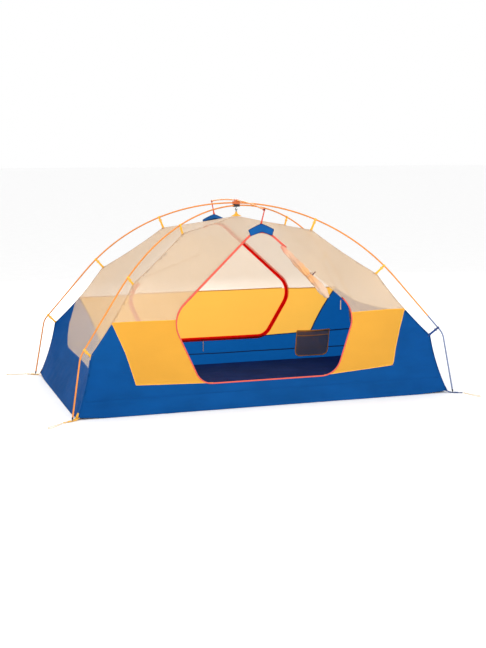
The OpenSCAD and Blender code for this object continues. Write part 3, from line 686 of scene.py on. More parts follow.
def inside(points, polygon):
    """Which of the points are in the polygon."""
    x, y = points[:, 0], points[:, 1]
    hit = np.zeros(len(points), bool)
    for (x0, y0), (x1, y1) in zip(polygon, np.roll(polygon, -1, 0)):
        cross = (y0 > y) != (y1 > y)
        with np.errstate(divide="ignore", invalid="ignore"):
            hit ^= cross & (x < (x1 - x0) * (y - y0) / (y1 - y0) + x0)
    return hit


def nearest(points, others):
    """How far each point is from the nearest of the others."""
    out = np.empty(len(points))
    for i in range(0, len(points), 2000):
        gap = points[i:i + 2000, None, :] - others[None, :, :]
        out[i:i + 2000] = np.sqrt((gap**2).sum(2).min(1))
    return out


SAME_POINT = 0.00005  # points of a pattern nearer than this are one
NET_STEPS, NET_ERROR = 900, 1e-8  # limits of the solution of a net in tension


class Pattern:
    """A flat pattern: lines of points, some with a fixed place in space, meshed and then tensioned."""

    def __init__(self, pitch=PITCH):
        self.pitch = pitch
        self.points, self.fixed, self.edges, self.lines, self.known = [], {}, [], {}, {}

    def line(self, name, points, places=None, closed=False):
        indices = []
        for i, p in enumerate(points):
            key = (round(p[0] / SAME_POINT), round(p[1] / SAME_POINT))
            if key not in self.known:
                self.known[key] = len(self.points)
                self.points.append(vec(p[0], p[1]))
            at = self.known[key]
            if places is not None:
                self.fixed[at] = places[i]
            indices.append(at)
        pairs = list(zip(indices, indices[1:])) + ([(indices[-1], indices[0])] if closed else [])
        self.edges += [(a, b) for a, b in pairs if a != b]
        self.lines[name] = indices

    def solve(self, outline):
        """Fills the outline with triangles and finds the shape of the stretched cloth."""
        edge = np.array([self.points[i] for i in outline])
        own = np.array(self.points)
        low, high = edge.min(0), edge.max(0)
        rows = []
        for r, y in enumerate(np.arange(low[1], high[1], self.pitch * 0.866)):
            xs = np.arange(low[0] + (r % 2) * self.pitch / 2, high[0], self.pitch)
            rows.append(np.stack([xs, np.full(len(xs), y)], 1))
        grid = np.vstack(rows)
        grid = grid[inside(grid, edge)]
        grid = grid[nearest(grid, own) > 0.6 * self.pitch]
        both = np.vstack([own, grid])
        verts, _, faces, origin, _, _ = delaunay_2d_cdt([Vector(p) for p in both], self.edges, [], 0, 1e-6)
        flat = np.array([tuple(v) for v in verts])
        faces = np.array([f for f in faces if len(f) == 3])
        faces = faces[inside(flat[faces].mean(1), edge)]
        where = {i: j for j, sources in enumerate(origin) for i in sources}
        self.flat, self.faces = flat, faces
        self.index = {name: [where[i] for i in line] for name, line in self.lines.items()}
        self.held = np.zeros(len(flat), bool)
        target = np.zeros((len(flat), 3))
        for i, p in self.fixed.items():
            self.held[where[i]], target[where[i]] = True, p
        self.place = tension(flat, faces, self.held, target)

    def part(self, flip=AS_IS):
        """Its (verts, faces, uvs)."""
        return list(self.place * flip), [tuple(f) for f in self.faces], [tuple(p) for p in self.flat]

    def normals(self, outward):
        p = self.place[self.faces]
        each = np.cross(p[:, 1] - p[:, 0], p[:, 2] - p[:, 0])
        total = np.zeros_like(self.place)
        for k in range(3):
            np.add.at(total, self.faces[:, k], each)
        total /= np.maximum(np.linalg.norm(total, axis=1), 1e-12)[:, None]
        if (total.mean(0) @ outward) < 0:
            self.faces = self.faces[:, ::-1]
            total = -total
        return total


def tension(flat, faces, held, target):
    """Solves for the rest of the cloth as a net in tension between its held points."""
    source, sink, weight = [], [], []
    for a, b, c in ((0, 1, 2), (1, 2, 0), (2, 0, 1)):
        u, v = flat[faces[:, a]] - flat[faces[:, c]], flat[faces[:, b]] - flat[faces[:, c]]
        area = np.abs(u[:, 0] * v[:, 1] - u[:, 1] * v[:, 0])
        w = np.maximum((u * v).sum(1) / np.maximum(area, 1e-12), 0.05) / 2
        source += [faces[:, a], faces[:, b]]
        sink += [faces[:, b], faces[:, a]]
        weight += [w, w]
    source, sink, weight = np.concatenate(source), np.concatenate(sink), np.concatenate(weight)
    n = len(flat)
    used = np.zeros(n, bool)
    used[faces.ravel()] = True
    free = used & ~held
    total = np.bincount(source, weight, n)

    def pull(x):
        return np.stack([total * x[:, k] - np.bincount(source, weight * x[sink, k], n) for k in range(3)], 1)

    x = np.where(held[:, None], target, 0.0)
    x[free] = target[held].mean(0)
    r = -pull(x)
    r[~free] = 0
    scale = np.maximum(total, 1e-9)[:, None]
    z = r / scale
    p, rz = z.copy(), (r * z).sum(0)
    for _ in range(NET_STEPS):
        ap = pull(p)
        ap[~free] = 0
        alpha = rz / np.maximum((p * ap).sum(0), 1e-30)
        x += alpha * p
        r -= alpha * ap
        if np.abs(r).max() < NET_ERROR:
            break
        z = r / scale
        new = (r * z).sum(0)
        p = z + p * (new / np.maximum(rz, 1e-30))
        rz = new
    return x


# ---- the four walls


def straight(a, b, pitch=PITCH):
    return resampled([a, b], pitch)


def bottom_edge(half, level_half, drop):
    """A wall's lower edge: level on the ground, rising a little to the two corners."""
    a, b = vec(-level_half, drop), vec(level_half, drop)
    return np.vstack([straight(vec(-half, 0), a)[:-1], straight(a, b), straight(b, vec(half, 0))[1:]])


def fill(pattern):
    """Solves a wall between its hips and its bottom. Returns the middles of its triangles."""
    pattern.solve(pattern.lines["hip+1"] + pattern.lines["hip-1"][::-1][1:] + pattern.lines["bottom"][1:-1])
    return pattern.flat[pattern.faces].mean(1)


BLUE_CLOTH, YELLOW_CLOTH, NET, DOOR = range(4)  # kinds of a wall's triangles
PANEL_LOW = {  # lower outer corners of the coloured panels, by rear and then by side
    False: {-1: vec(-0.780, slope(0.165)), 1: vec(0.776, slope(0.184))},
    True: {-1: vec(-0.735, slope(0.195)), 1: vec(0.735, slope(0.195))},
}


PANEL_EDGES = ("panel_top", "panel_side", "panel_low")


def side_wall(rear):
    """Flat pattern of the front or rear: the walls round a door, and the roof above them."""
    pattern = Pattern()
    sill = REAR_SILL if rear else FRONT_SILL
    panel_z = REAR_PANEL_Z if rear else PANEL_Z
    low = PANEL_LOW[rear]
    flip = MIRROR if rear else AS_IS
    hips = {}
    for sx in (1, -1):
        flat = FRONT_HIP * vec(sx, 1)
        pattern.line(f"hip{sx:+d}", flat, hip_3d(sx, -1) * flip)
        hips[sx] = flat
    bottom = bottom_edge(HALF_L, EDGE_X, slope(FLOOR_Z))
    pattern.line("bottom", bottom, [up_wall(p) * flip for p in bottom])
    door = resampled(door_outline(sill), PITCH * 0.6, closed=True)
    marks = {}
    for sx in (1, -1):
        far_side = (door[:, 0] * sx < 0) * 9.0
        marks[sx, "top"] = door[np.argmin(np.abs(door[:, 1] - slope(panel_z)) + far_side)]
        marks[sx, "low"] = door[np.argmin(np.linalg.norm(door - vec(sx * 0.334, slope(sill)), axis=1))]
    pattern.line("door", door, [up_wall(p) * flip for p in door], closed=True)
    regions = {}
    for sx in (1, -1):
        hip_top = hips[sx][hip_index(1, panel_z)]
        outer = low[sx]
        bend = (hip_top + outer) / 2 + vec((-0.012 if rear else -0.010) * sx, 0)
        pattern.line(f"panel_top{sx:+d}", straight(marks[sx, "top"], hip_top))
        pattern.line(f"panel_side{sx:+d}", resampled(smoothed([hip_top, bend, outer]), PITCH))
        pattern.line(f"panel_low{sx:+d}", straight(outer, marks[sx, "low"]))
        ring = [i for part in PANEL_EDGES for i in pattern.lines[f"{part}{sx:+d}"]]
        here = [(p[0], p[1]) for p in door
                if p[0] * sx > 0.30 and marks[sx, "low"][1] - 1e-6 < p[1] < slope(panel_z) + 1e-6]
        here.sort(key=lambda p: p[1])
        regions[sx] = np.array([pattern.points[i] for i in ring] + here)
    crease = vec(0, slope(0.990))
    pattern.line("crease", [crease], [up_wall(crease) * flip])
    seam = 0.076 if rear else 0.095
    pattern.line("tub_seam", straight(vec(-1.07, slope(seam)), vec(1.07, slope(seam))))
    middle = fill(pattern)
    kinds = np.full(len(middle), NET)
    for sx in (1, -1):
        kinds[inside(middle, regions[sx])] = YELLOW_CLOTH
    seam_x, seam_y = np.transpose([low[-1], marks[-1, "low"], marks[1, "low"], low[1]])
    reach = np.interp(middle[:, 0], seam_x, seam_y)
    side_x = np.interp(middle[:, 1], [low[1][1], slope(panel_z)],
                       [low[1][0], abs(hips[1][hip_index(1, panel_z)][0])])
    blue = (middle[:, 1] < reach) | ((np.abs(middle[:, 0]) > side_x - 0.05) & (middle[:, 1] < slope(panel_z)))
    kinds[(kinds == NET) & blue] = BLUE_CLOTH
    kinds[inside(middle, pattern.flat[pattern.index["door"]])] = DOOR
    return pattern, kinds


def end_wall(foot):
    """Flat pattern of an end: the foot end is blue to mid height, the head end has a mesh window."""
    pattern = Pattern()
    sx = 1 if foot else -1
    for sy in (1, -1):
        pattern.line(f"hip{sy:+d}", END_HIP * vec(sy, 1), hip_3d(sx, sy))
    steep = unit(vec(HIP_X[1] - HIP_X[0], HIPS[0][1] - CORNER_Z))
    bottom = bottom_edge(HALF_W, EDGE_Y, (FLOOR_Z - CORNER_Z) / steep[1])
    pattern.line("bottom", bottom, [vec(sx * (HALF_L + p[1] * steep[0]), p[0], CORNER_Z + p[1] * steep[1])
                                    for p in bottom])
    pattern.line("tub_seam", straight(vec(-0.617, 0.085), vec(0.617, 0.085)))

    if foot:
        end = END_HIP[hip_index(1, 0.485)]
        pattern.line("window", straight(end * vec(-1, 1), end))
    else:
        first = END_HIP[hip_index(0, 0.312)] * vec(-1, 1)
        last = END_HIP[hip_index(1, 0.482)]
        # Along the seam from the front corner to the rear one: y, height.
        between = [(-0.572, 0.287), (-0.545, 0.272), (-0.50, 0.265), (-0.2, 0.262), (0.10, 0.262),
                   (0.22, 0.264), (0.28, 0.272), (0.33, 0.292), (0.375, 0.325), (0.43, 0.375)]
        route = [first, *(vec(y, (z - CORNER_Z) / steep[1]) for y, z in between), last]
        pattern.line("window", resampled(smoothed(route), PITCH))
    middle = fill(pattern)
    kinds = np.full(len(middle), NET)
    edge = [pattern.points[i] for i in pattern.lines["window"]]
    low = [vec(-2, edge[0][1]), vec(-2, -2), vec(2, -2), vec(2, edge[-1][1])]
    kinds[inside(middle, np.array(edge + low[::-1]))] = BLUE_CLOTH
    return pattern, kinds


def rumple(pattern, kinds, outward, seed):
    """Small waves off the stretched shape, none at the held points."""
    normal = pattern.normals(outward)
    held = pattern.flat[pattern.held]
    fade = np.clip(nearest(pattern.flat, held) / 0.05, 0, 1)
    blue = np.zeros(len(pattern.flat))
    blue[pattern.faces[kinds == BLUE_CLOTH].ravel()] = 1
    for i, (u, v) in enumerate(pattern.flat):
        if fade[i] == 0:
            continue
        slow = noise.noise(Vector((u * 3.1, v * 3.1, seed)))
        lines = noise.noise(Vector((u * 4.0, v * 22.0, seed + 7)))
        small = noise.noise(Vector((u * 18.0 + v * 6.0, v * 15.0, seed + 3)))
        if blue[i]:
            move = 0.006 * slow + 0.0045 * lines + 0.0022 * small
        else:
            move = 0.003 * slow + 0.0006 * small
        pattern.place[i] += normal[i] * move * fade[i]
    pattern.normal = pattern.normals(outward)


WALLS = {}
for wall_name, (wall, wall_kinds), wall_out in (
        ("front", side_wall(False), vec(0, -1, 0.4)), ("rear", side_wall(True), vec(0, 1, 0.4)),
        ("head", end_wall(False), vec(-1, 0, 0.6)), ("foot", end_wall(True), vec(1, 0, 0.6))):
    rumple(wall, wall_kinds, wall_out, 3.0 + len(WALLS) * 11)
    WALLS[wall_name] = (wall, wall_kinds)


def cloth_part(wall_name, kind, low=-1, high=2):
    """(verts, faces, uvs) of a wall's triangles of one kind between two distances up it."""
    wall, kinds = WALLS[wall_name]
    up = wall.flat[wall.faces].mean(1)[:, 1]
    faces = wall.faces[(kinds == kind) & (up >= low) & (up < high)]
    used = np.unique(faces)
    back = np.full(len(wall.flat), -1)
    back[used] = np.arange(len(used))
    return list(wall.place[used]), [tuple(f) for f in back[faces]], [tuple(p) for p in wall.flat[used]]


def weld(obj):
    """Joins the vertices of a piece that are at the same place."""
    bm = bmesh.new()
    bm.from_mesh(obj.data)
    bmesh.ops.remove_doubles(bm, verts=bm.verts, dist=0.0003)
    bm.to_mesh(obj.data)
    bm.free()
    return obj


def solidify(obj, thickness, offset):
    solid = obj.modifiers.new("thickness", "SOLIDIFY")
    solid.thickness, solid.offset = thickness, offset


def cut_from(parts):
    """Measures the lengths, widths and cut area of the flat patterns of parts; the results are not used."""
    lengths, widths, area = [], [], 0.0
    for _, faces, flat in parts:
        flat, faces = np.array(flat), np.array(faces)
        spans = sorted(np.ptp(flat, axis=0))
        widths.append(spans[0])
        lengths.append(spans[1])
        a, b, c = (flat[faces[:, k]] for k in range(3))
        area += np.abs(np.cross(b - a, c - a)).sum() / 2


BELOW_HOOD = slope(DOOR_CUT_Z)
CLOTH = {  # name: parts, material, body, nodes replaced, what it hangs from
    "bathtub_walls": ([cloth_part(w, BLUE_CLOTH) for w in WALLS], "bathtub_fabric", "root",
                      ["bathtub_ends", "bathtub_front", "bathtub_rear"], ["pole_tips", "corner_grommets"]),
    "canopy_mesh": ([*(cloth_part(w, NET) for w in WALLS), cloth_part("rear", DOOR, BELOW_HOOD, 2)],
                    "mesh", "root", ["mesh_ends", "mesh_front", "mesh_rear"],
                    ["clip_front_left_top", "crown_hook"]),
    "panels_front": ([cloth_part("front", YELLOW_CLOTH)], "panel_fabric", "root", ["front_panels"],
                     ["bathtub_walls"]),
    "panels_rear": ([cloth_part("rear", YELLOW_CLOTH)], "panel_fabric", "root", ["rear_panels"],
                    ["bathtub_walls"]),
    "rear_door_net": ([cloth_part("rear", DOOR, slope(REAR_PANEL_Z), BELOW_HOOD)], "mesh", "rear_door",
                      ["rear_door_mesh"], ["canopy_mesh"]),
    "rear_door_cloth": ([cloth_part("rear", DOOR, -1, slope(REAR_PANEL_Z))], "panel_fabric", "rear_door",
                        ["rear_door_panel"], ["rear_door_net"]),
}
for name, (parts, material, body, nodes, hung_from) in CLOTH.items():
    piece = weld(make(name, parts, material, material, body, nodes))
    cut_from(parts)


def sample(wall_name, points):
    """Places and outward normals of points of a wall's flat pattern."""
    wall, _ = WALLS[wall_name]
    corners = wall.flat[wall.faces]
    a, b, c = corners[:, 0], corners[:, 1], corners[:, 2]
    v0, v1 = b - a, c - a
    scale = v0[:, 0] * v1[:, 1] - v0[:, 1] * v1[:, 0]
    places, normals = [], []
    for p in np.asarray(points, float):
        v2 = p - a
        s = (v2[:, 0] * v1[:, 1] - v2[:, 1] * v1[:, 0]) / scale
        t = (v0[:, 0] * v2[:, 1] - v0[:, 1] * v2[:, 0]) / scale
        best = np.argmax(np.minimum(np.minimum(s, t), 1 - s - t))
        weights = np.clip([1 - s[best] - t[best], s[best], t[best]], 0, 1)
        weights /= weights.sum()
        places.append(weights @ wall.place[wall.faces[best]])
        normals.append(unit(weights @ wall.normal[wall.faces[best]]))
    return np.array(places), np.array(normals)


def wall_line(wall_name, line):
    """Places and outward normals along one of a wall's named lines."""
    wall, _ = WALLS[wall_name]
    at = wall.index[line]
    return wall.place[at], wall.normal[at]


# ---- floor

floor = Pattern(0.022)
rim = []
for wall_name, reverse in (("front", False), ("foot", False), ("rear", True), ("head", True)):
    places, _ = wall_line(wall_name, "bottom")
    places = places[::-1] if reverse else places
    floor.line(wall_name, places[:, :2], places)
    rim += floor.lines[wall_name][:-1]
floor.solve(rim)
floor.normals(vec(0, 0, 1))
for i, (u, v) in enumerate(floor.flat):
    if not floor.held[i]:
        wave = noise.noise(Vector((u * 5, v * 5, 2.0))) + 0.5 * noise.noise(Vector((u * 16, v * 16, 5.0)))
        floor.place[i][2] = max(FLOOR_Z, floor.place[i][2] + 0.003 * wave)
floor_piece = make("floor", [floor.part()], "floor_fabric", "floor_fabric", replaces=["floor_sheet"])
cut_from([floor.part()])

# ---- seams and bindings

def hip_tape(sx, sy, first, last, width, lift=0.0):
    """Tape along a hip between two of its samples, off the ridge by lift."""
    places = hip_3d(sx, sy)[first:last + 1]
    along = np.gradient(places, axis=0)
    out = np.cross(along, vec(-UY * sy, UX * sx, 0))
    out /= np.linalg.norm(out, axis=1)[:, None]
    out *= np.sign(((places - vec(0, 0, 0.3)) * out).sum(1))[:, None]
    return tape_mesh(places + out * lift, out, width, 0.0014)


tan_hips, blue_hips, inner_hips = [], [], []
for sx in (1, -1):
    for sy in (1, -1):
        split = hip_index(1, 0.49) if sx > 0 or sy > 0 else hip_index(0, 0.312)
        tan_hips.append(hip_tape(sx, sy, split, len(HIP) - 3, 0.005))
        blue_hips.append(hip_tape(sx, sy, 0, split, 0.008))
        inner_hips.append(hip_tape(sx, sy, hip_index(0, 0.14), hip_index(0, 0.343), 0.007, -0.012))
make("hip_seams_mesh", tan_hips, "binding_tan", "mesh")
make("hip_seams_blue", blue_hips, "binding_blue", "bathtub_fabric")
make("hip_bindings_inside", inner_hips, "binding_brown", "webbing_yellow")

gold, brown, seam_shadow_tapes, tub = [], [], [], []
for sx in "+-":
    for part in PANEL_EDGES:
        gold.append(tape_mesh(*wall_line("front", f"{part}{sx}1"), 0.004, 0.0009))
    brown.append(tape_mesh(*wall_line("rear", f"panel_top{sx}1"), 0.006, 0.0012))
    # The rear panel's side and lower seams, and the seam from its corner to the hip, get dark navy tape:
    # painted shadow along these seams.
    seam_shadow_tapes.append(tape_mesh(*wall_line("rear", f"panel_side{sx}1"), 0.008, 0.0012))
    seam_shadow_tapes.append(tape_mesh(*wall_line("rear", f"panel_low{sx}1"), 0.006, 0.0011))
    outer = PANEL_LOW[True][int(sx + "1")]
    to_hip = straight(outer, vec(math.copysign(1.065, outer[0]), slope(0.200)), 0.02)
    seam_shadow_tapes.append(tape_mesh(*sample("rear", to_hip), 0.008, 0.0012))
for wall_name in WALLS:
    tub.append(tape_mesh(*wall_line(wall_name, "tub_seam"), 0.007 if wall_name == "rear" else 0.004, 0.0009))
make("panel_seams_front", gold, "binding_gold", "panel_fabric")
make("panel_seam_rear", brown, "binding_brown", "webbing_yellow")
# Dark navy tape on the rear panel seams and on the wider rear tub seam is painted seam shadow; the other tub
# seams are the wall's own blue.
make("wall_seam_shadows_rear", seam_shadow_tapes, "binding_navy_and_seam_shadow", "bathtub_fabric")
make("tub_seam_shadow_rear", [tub.pop(1)], "binding_navy_and_seam_shadow", "bathtub_fabric")
make("tub_seams", tub, "bathtub_fabric", "bathtub_fabric")
window_seams = [tape_mesh(*wall_line(w, "window"), 0.007, 0.0012) for w in ("head", "foot")]
make("window_seams", window_seams, "binding_blue", "bathtub_fabric")

# ---- zips

STEPS = 12
ARC = STEPS + 1
TEETH_PITCH = 0.0024
ZIP_END_X = 0.146


def zip_path(sill, sewn, off):
    """The zip's line at an offset from the outline: all of it but the slanting sewn edge."""
    outline = door_outline(sill, off, STEPS)
    first = 2 * ARC if sewn == "right" else 3 * ARC
    line = np.roll(outline, -first, axis=0)
    if sewn == "right":  # the zip's upper end lies a little down the sewn edge
        fall = (DOOR_PEAK - SHOULDER_Z) / DOOR_HALF[sill]
        end = vec(ZIP_END_X, slope(DOOR_PEAK - ZIP_END_X * fall)) + off * vec(0.66, 0.75)
        line = np.vstack([end, line])
    return resampled(line, 0.008)


FRONT_ZIP, REAR_ZIP = (FRONT_SILL, "right", AS_IS), (REAR_SILL, "left", MIRROR)  # sill, sewn side, flip
FRONT_TAPE_W, REAR_TAPE_W = (0.0065, 0.0115), (0.0138, 0.0138)  # low down, and on the upper slant


def zip_tape(which, width, side):
    """Half of a zip's tape on both faces of the cloth, outside the outline (side 1) or inside it (-1)."""
    sill, sewn, flip = which
    flat = zip_path(sill, sewn, 0.0)
    along = np.gradient(flat, axis=0)
    out = np.stack([along[:, 1], -along[:, 0]], 1) / np.linalg.norm(along, axis=1)[:, None]
    widths = np.interp(flat[:, 1] - 0.3 * (flat[:, 0] > 0.2), [slope(0.47), slope(0.60)], width)
    flat = flat + out * side * (widths / 2 + 0.0003)[:, None]
    places = np.array([up_wall(p) for p in flat]) * flip
    return [tape_mesh(places, WALL_OUT * flip, widths, 0.0009, lift=lift) for lift in (0.0014, 0.0, -0.0014)]


def coil(which, off, radius):
    """A coil of nylon teeth: a cord with a bump for each tooth."""
    sill, sewn, flip = which
    flat = resampled(zip_path(sill, sewn, off), TEETH_PITCH / 2)
    radii = radius * (1 + 0.22 * np.where(np.arange(len(flat)) % 2, 1.0, -1.0))
    return [tube_mesh(np.array([up_wall(p) for p in flat]) * flip, radii, 6)]


make("front_zip_tape", zip_tape(FRONT_ZIP, FRONT_TAPE_W, 1), "zip_coral", "zip_coral", replaces=["front_zip"])
make("front_zip_coil", coil(FRONT_ZIP, 0.0005, 0.0015), "coil_coral", "zip_coral")
make("rear_zip_tape", zip_tape(REAR_ZIP, REAR_TAPE_W, 1), "zip_red", "zip_red", replaces=["rear_zip"])
make("rear_zip_coil", coil(REAR_ZIP, 0.0009, 0.0012), "coil_red", "zip_red")
make("rear_door_zip_tape", zip_tape(REAR_ZIP, REAR_TAPE_W, -1), "zip_red", "zip_red", "rear_door",
     ["rear_door_zip"])
make("rear_door_zip_coil", coil(REAR_ZIP, -0.0009, 0.0012), "coil_red", "zip_red", "rear_door")
door_seam = straight(vec(-0.442, slope(0.624)), vec(-0.087, slope(0.761)), 0.02)
make("rear_door_seam", [tape_mesh(*sample("rear", door_seam), 0.005, 0.0011)], "binding_tan", "mesh",
     "rear_door")
door_top = straight(vec(-0.50, slope(REAR_PANEL_Z)), vec(0.50, slope(REAR_PANEL_Z)), 0.02)
make("rear_door_panel_seam", [tape_mesh(*sample("rear", door_top), 0.006, 0.0012)], "binding_brown",
     "webbing_yellow", "rear_door")


# ---- straps of the clips


def clip_frame(leg, k):
    """Origin on the pole, along the pole, across it, and away from the canopy, of a clip."""
    pole, side = LEGS[leg]
    turn = -pole * math.atan2(HALF_W, HALF_L)
    out = vec(math.cos(turn), math.sin(turn), 0) * side
    s, z = CLIP_AT[k]
    a = CLIP_A[k]
    origin = out * s + vec(0, 0, z + pole * CROSS_GAP)
    along = out * math.cos(a) - vec(0, 0, math.sin(a))
    away = out * math.sin(a) + vec(0, 0, math.cos(a))
    return origin, along, np.cross(along, away), away, pole


CLIP_END, STRAP_W, STRAP_T = 0.025, 0.012, 0.0013
strap_made = False
STRAP_TOP = -CLIP_END + 0.0025
for leg in LEGS:
    for k, level in enumerate(LEVELS):
        origin, along, across, away, pole = clip_frame(leg, k)
        foot = CLIP_DROP + pole * CROSS_GAP * math.cos(CLIP_A[k])
        # Up the strap: distance from the pole's axis, lean of each ply, width.
        rows = [(-foot - 0.010, 0, 1.5), (-foot + 0.002, 0.0010, 1.25), (-foot + 0.010, 0.0012, 1),
                (-0.040, 0.0012, 1), (-0.028, 0.0013, 1), (STRAP_TOP, 0.0012, 1)]
        plies = []
        for face in (1, -1):
            line = resampled([(*(origin + away * up + across * face * lean), STRAP_W * w)
                              for up, lean, w in rows], 0.004)
            plies.append(tape_mesh(line[:, :3], across, line[:, 3], STRAP_T))
        bends = np.linspace(0, math.pi, 7)
        fold = [origin + away * (STRAP_TOP + 0.0013 * math.sin(t)) + across * 0.0012 * math.cos(t)
                for t in bends]
        outward = [across * math.cos(t) + away * math.sin(t) for t in bends]
        plies.append(tape_mesh(fold, outward, STRAP_W, STRAP_T))
        blue = LEGS[leg][1] > 0 and level == "low"
        strap = make(f"strap_{leg[0]}_{leg[1]}_{level}", plies, "webbing_blue" if blue else "webbing_yellow",
                     "clip_blue" if blue else "webbing_yellow", None, [] if strap_made else ["clip_straps"])
        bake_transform(strap)
        strap_made = True

# ---- brow tabs, hoods and apex

BROW_Z, BROW_HALF, BROW_RISE = 1.1345, 0.514, 0.029
HOOD_TOP = vec(0, -0.462, 1.023)
HOOD_HALF, HOOD_PITCH = 0.077, 0.007
for name, flip in (("front", AS_IS), ("rear", MIRROR)):
    tip = vec(0, -BROW_HALF - 0.006, BROW_Z - BROW_RISE - 0.0005)
    run = HOOD_TOP - tip
    normal = unit(np.cross(vec(1, 0, 0), run))
    # Down the tab: share of the way, bow, width in mm.
    rows = [(0.02, 0, 6), (0.12, 0.0006, 6), (0.35, 0.0012, 6.5), (0.6, 0.0010, 7), (0.85, 0.0004, 9),
            (1, 0, 13)]
    line = resampled([(*(tip + run * t + normal * bow), width / 1000) for t, bow, width in rows], 0.005)
    parts = [tape_mesh((line[:, :3] + normal * ply) * flip, normal * flip, line[:, 3], 0.0011)
             for ply in (0.0008, -0.0008)]
    out = np.array([(math.cos(a), 0, math.sin(a)) for a in circle(24)])
    ring = tip + vec(0, 0.010, 0) + 0.0062 * out
    parts.append(tape_mesh(ring * flip, out, 0.009, 0.0012, closed=True))
    tab = make(f"brow_strap_{name}", parts, "webbing_red", "webbing_red", None, [f"brow_tab_{name}"])
    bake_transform(tab)


def on_wall(x, z, off=0.0):
    """A point of the front wall from its x and height, off it by that much."""
    return up_wall(vec(x, slope(z))) + WALL_OUT * off


def hood(flip, name, replaces):
    """A stiffened cloth visor: a taut pentagon with a ridge, closed to the roof above and open below."""
    shell = Pattern(HOOD_PITCH)
    half = [on_wall(HOOD_HALF, 0.985, 0.014), on_wall(HOOD_HALF - 0.012, 0.952, 0.012)]
    rim = [HOOD_TOP, *half, on_wall(0, 0.972, 0.026), *(p * vec(-1, 1, 1) for p in half[::-1])]
    outline = []
    for i, (a, b) in enumerate(zip(rim, rim[1:] + rim[:1])):
        places = straight(a, b, HOOD_PITCH)
        if i in (0, 5):  # the two upper edges bow up a little
            t = np.linspace(0, 1, len(places))
            places = places + (4 * t * (1 - t))[:, None] * vec(0, -0.002, 0.002)
        shell.line(f"rim{i}", places[:, [0, 2]], places)
        outline += shell.lines[f"rim{i}"][:-1]
    ridge = resampled([HOOD_TOP, on_wall(0, 0.996, 0.025), rim[3]], HOOD_PITCH)
    shell.line("ridge", ridge[:, [0, 2]], ridge)
    shell.solve(outline)
    shell.normals(vec(0, -1, 0.2))
    # Gusset between the two upper edges and the roof.
    upper = [shell.place[shell.index[f"rim{i}"]] for i in (5, 0)]
    top = np.vstack([upper[0][:-1], upper[1]])
    base = []
    for p in top:
        t = 1 - abs(p[0]) / HOOD_HALF
        base.append(on_wall(p[0] * 0.96, 0.980 + 0.014 * t, 0.0005) + vec(0, 0.012 * t, 0.004 * t))
    rows = 4
    verts = [(a + (b - a) * r / rows) * flip for r in range(rows + 1) for a, b in zip(top, base)]
    n = len(top)
    faces = [(r * n + i, r * n + i + 1, (r + 1) * n + i + 1, (r + 1) * n + i)
             for r in range(rows) for i in range(n - 1)]
    gusset = verts, faces, [(v[0], v[1]) for v in verts]
    obj = weld(make(name, [shell.part(flip), gusset], "hood_blue", "hood_blue", replaces=replaces))
    halves = [f[:3] for f in faces] + [(f[0], f[2], f[3]) for f in faces]
    cut_from([shell.part(flip), (verts, halves, gusset[2])])
    solidify(obj, 0.0012, -1)
    return np.vstack([shell.place[shell.index[f"rim{i}"]][:-1] for i in range(6)]) * flip


hood_rims = [hood(AS_IS, "vent_hood_front", ["vent_hoods"]), hood(MIRROR, "vent_hood_rear", [])]
hood_edges = [tube_mesh(rim, 0.0013, 8, closed=True) for rim in hood_rims]
make("hood_bindings", hood_edges, "binding_navy_and_seam_shadow", "hood_blue")

RING_BOTTOM = 1.0643
loop_line = [  # half width, height
    (0.034, APEX_Z - 0.002), (0.028, APEX_Z + 0.002), (0.012, APEX_Z + 0.010),
    (0.0065, APEX_Z + 0.017), (0.006, RING_BOTTOM - 0.002),
]
parts = []
for face in (1, -1):
    rows = resampled([(0, face * 0.0011, z, 2 * half) for half, z in loop_line], 0.003)
    parts.append(tape_mesh(rows[:, :3], vec(0, face, 0), rows[:, 3], 0.0011))
turn = np.linspace(0, math.pi, 9)
parts.append(tape_mesh([(0, 0.0018 * math.cos(t), RING_BOTTOM - 0.0015 + 0.0030 * math.sin(t)) for t in turn],
                       [(0, math.cos(t), math.sin(t)) for t in turn], 0.012, 0.0011))
make("apex_webbing", parts, "webbing_yellow", "webbing_yellow", replaces=["apex_loop"])

# ---- corners


STRAP_END = 1.385
STRAP_HOLES = [(FOOT_S - 0.0006, 0.0050), (1.366, 0.0058)]  # for the pole's foot and for the stake's eyelet
STRAP_RISE = [(HALF_DIAG - 0.012, 0.0125), (HALF_DIAG + 0.001, 0.0092), (1.309, 0.0030), (STRAP_END, 0.0030)]


def corner_strap(sx, sy):
    """Webbing from a body corner out to its eyelet, with a hole for each of the two metal eyelets."""
    reach = np.linspace(STRAP_RISE[0][0], STRAP_END, 36)
    half = np.interp(reach, [1.29, 1.345, 1.376, STRAP_END], [0.0125, 0.0115, 0.0095, 0.0055])
    left = np.stack([reach, half], 1)
    outline = resampled(np.vstack([left, left[::-1] * vec(1, -1)]), 0.0025, closed=True)

    def lifted(points):
        return [vec(*p, np.interp(p[0], *zip(*STRAP_RISE))) for p in points]

    net = Pattern(0.003)
    net.line("edge", outline, lifted(outline), closed=True)
    for centre, r in STRAP_HOLES:
        ring = [vec(centre + r * math.cos(a), r * math.sin(a)) for a in circle(24)]
        net.line(f"hole{centre:.3f}", ring, lifted(ring), closed=True)
    net.solve(net.lines["edge"])
    middle = net.flat[net.faces].mean(1)
    for centre, r in STRAP_HOLES:
        net.faces = net.faces[np.hypot(middle[:, 0] - centre, middle[:, 1]) > r]
        middle = net.flat[net.faces].mean(1)
    net.place = np.array([vec(sx * s * UX - sx * w * UY, sy * s * UY + sy * w * UX, z)
                          for s, w, z in lifted(net.flat)])
    return net.part()


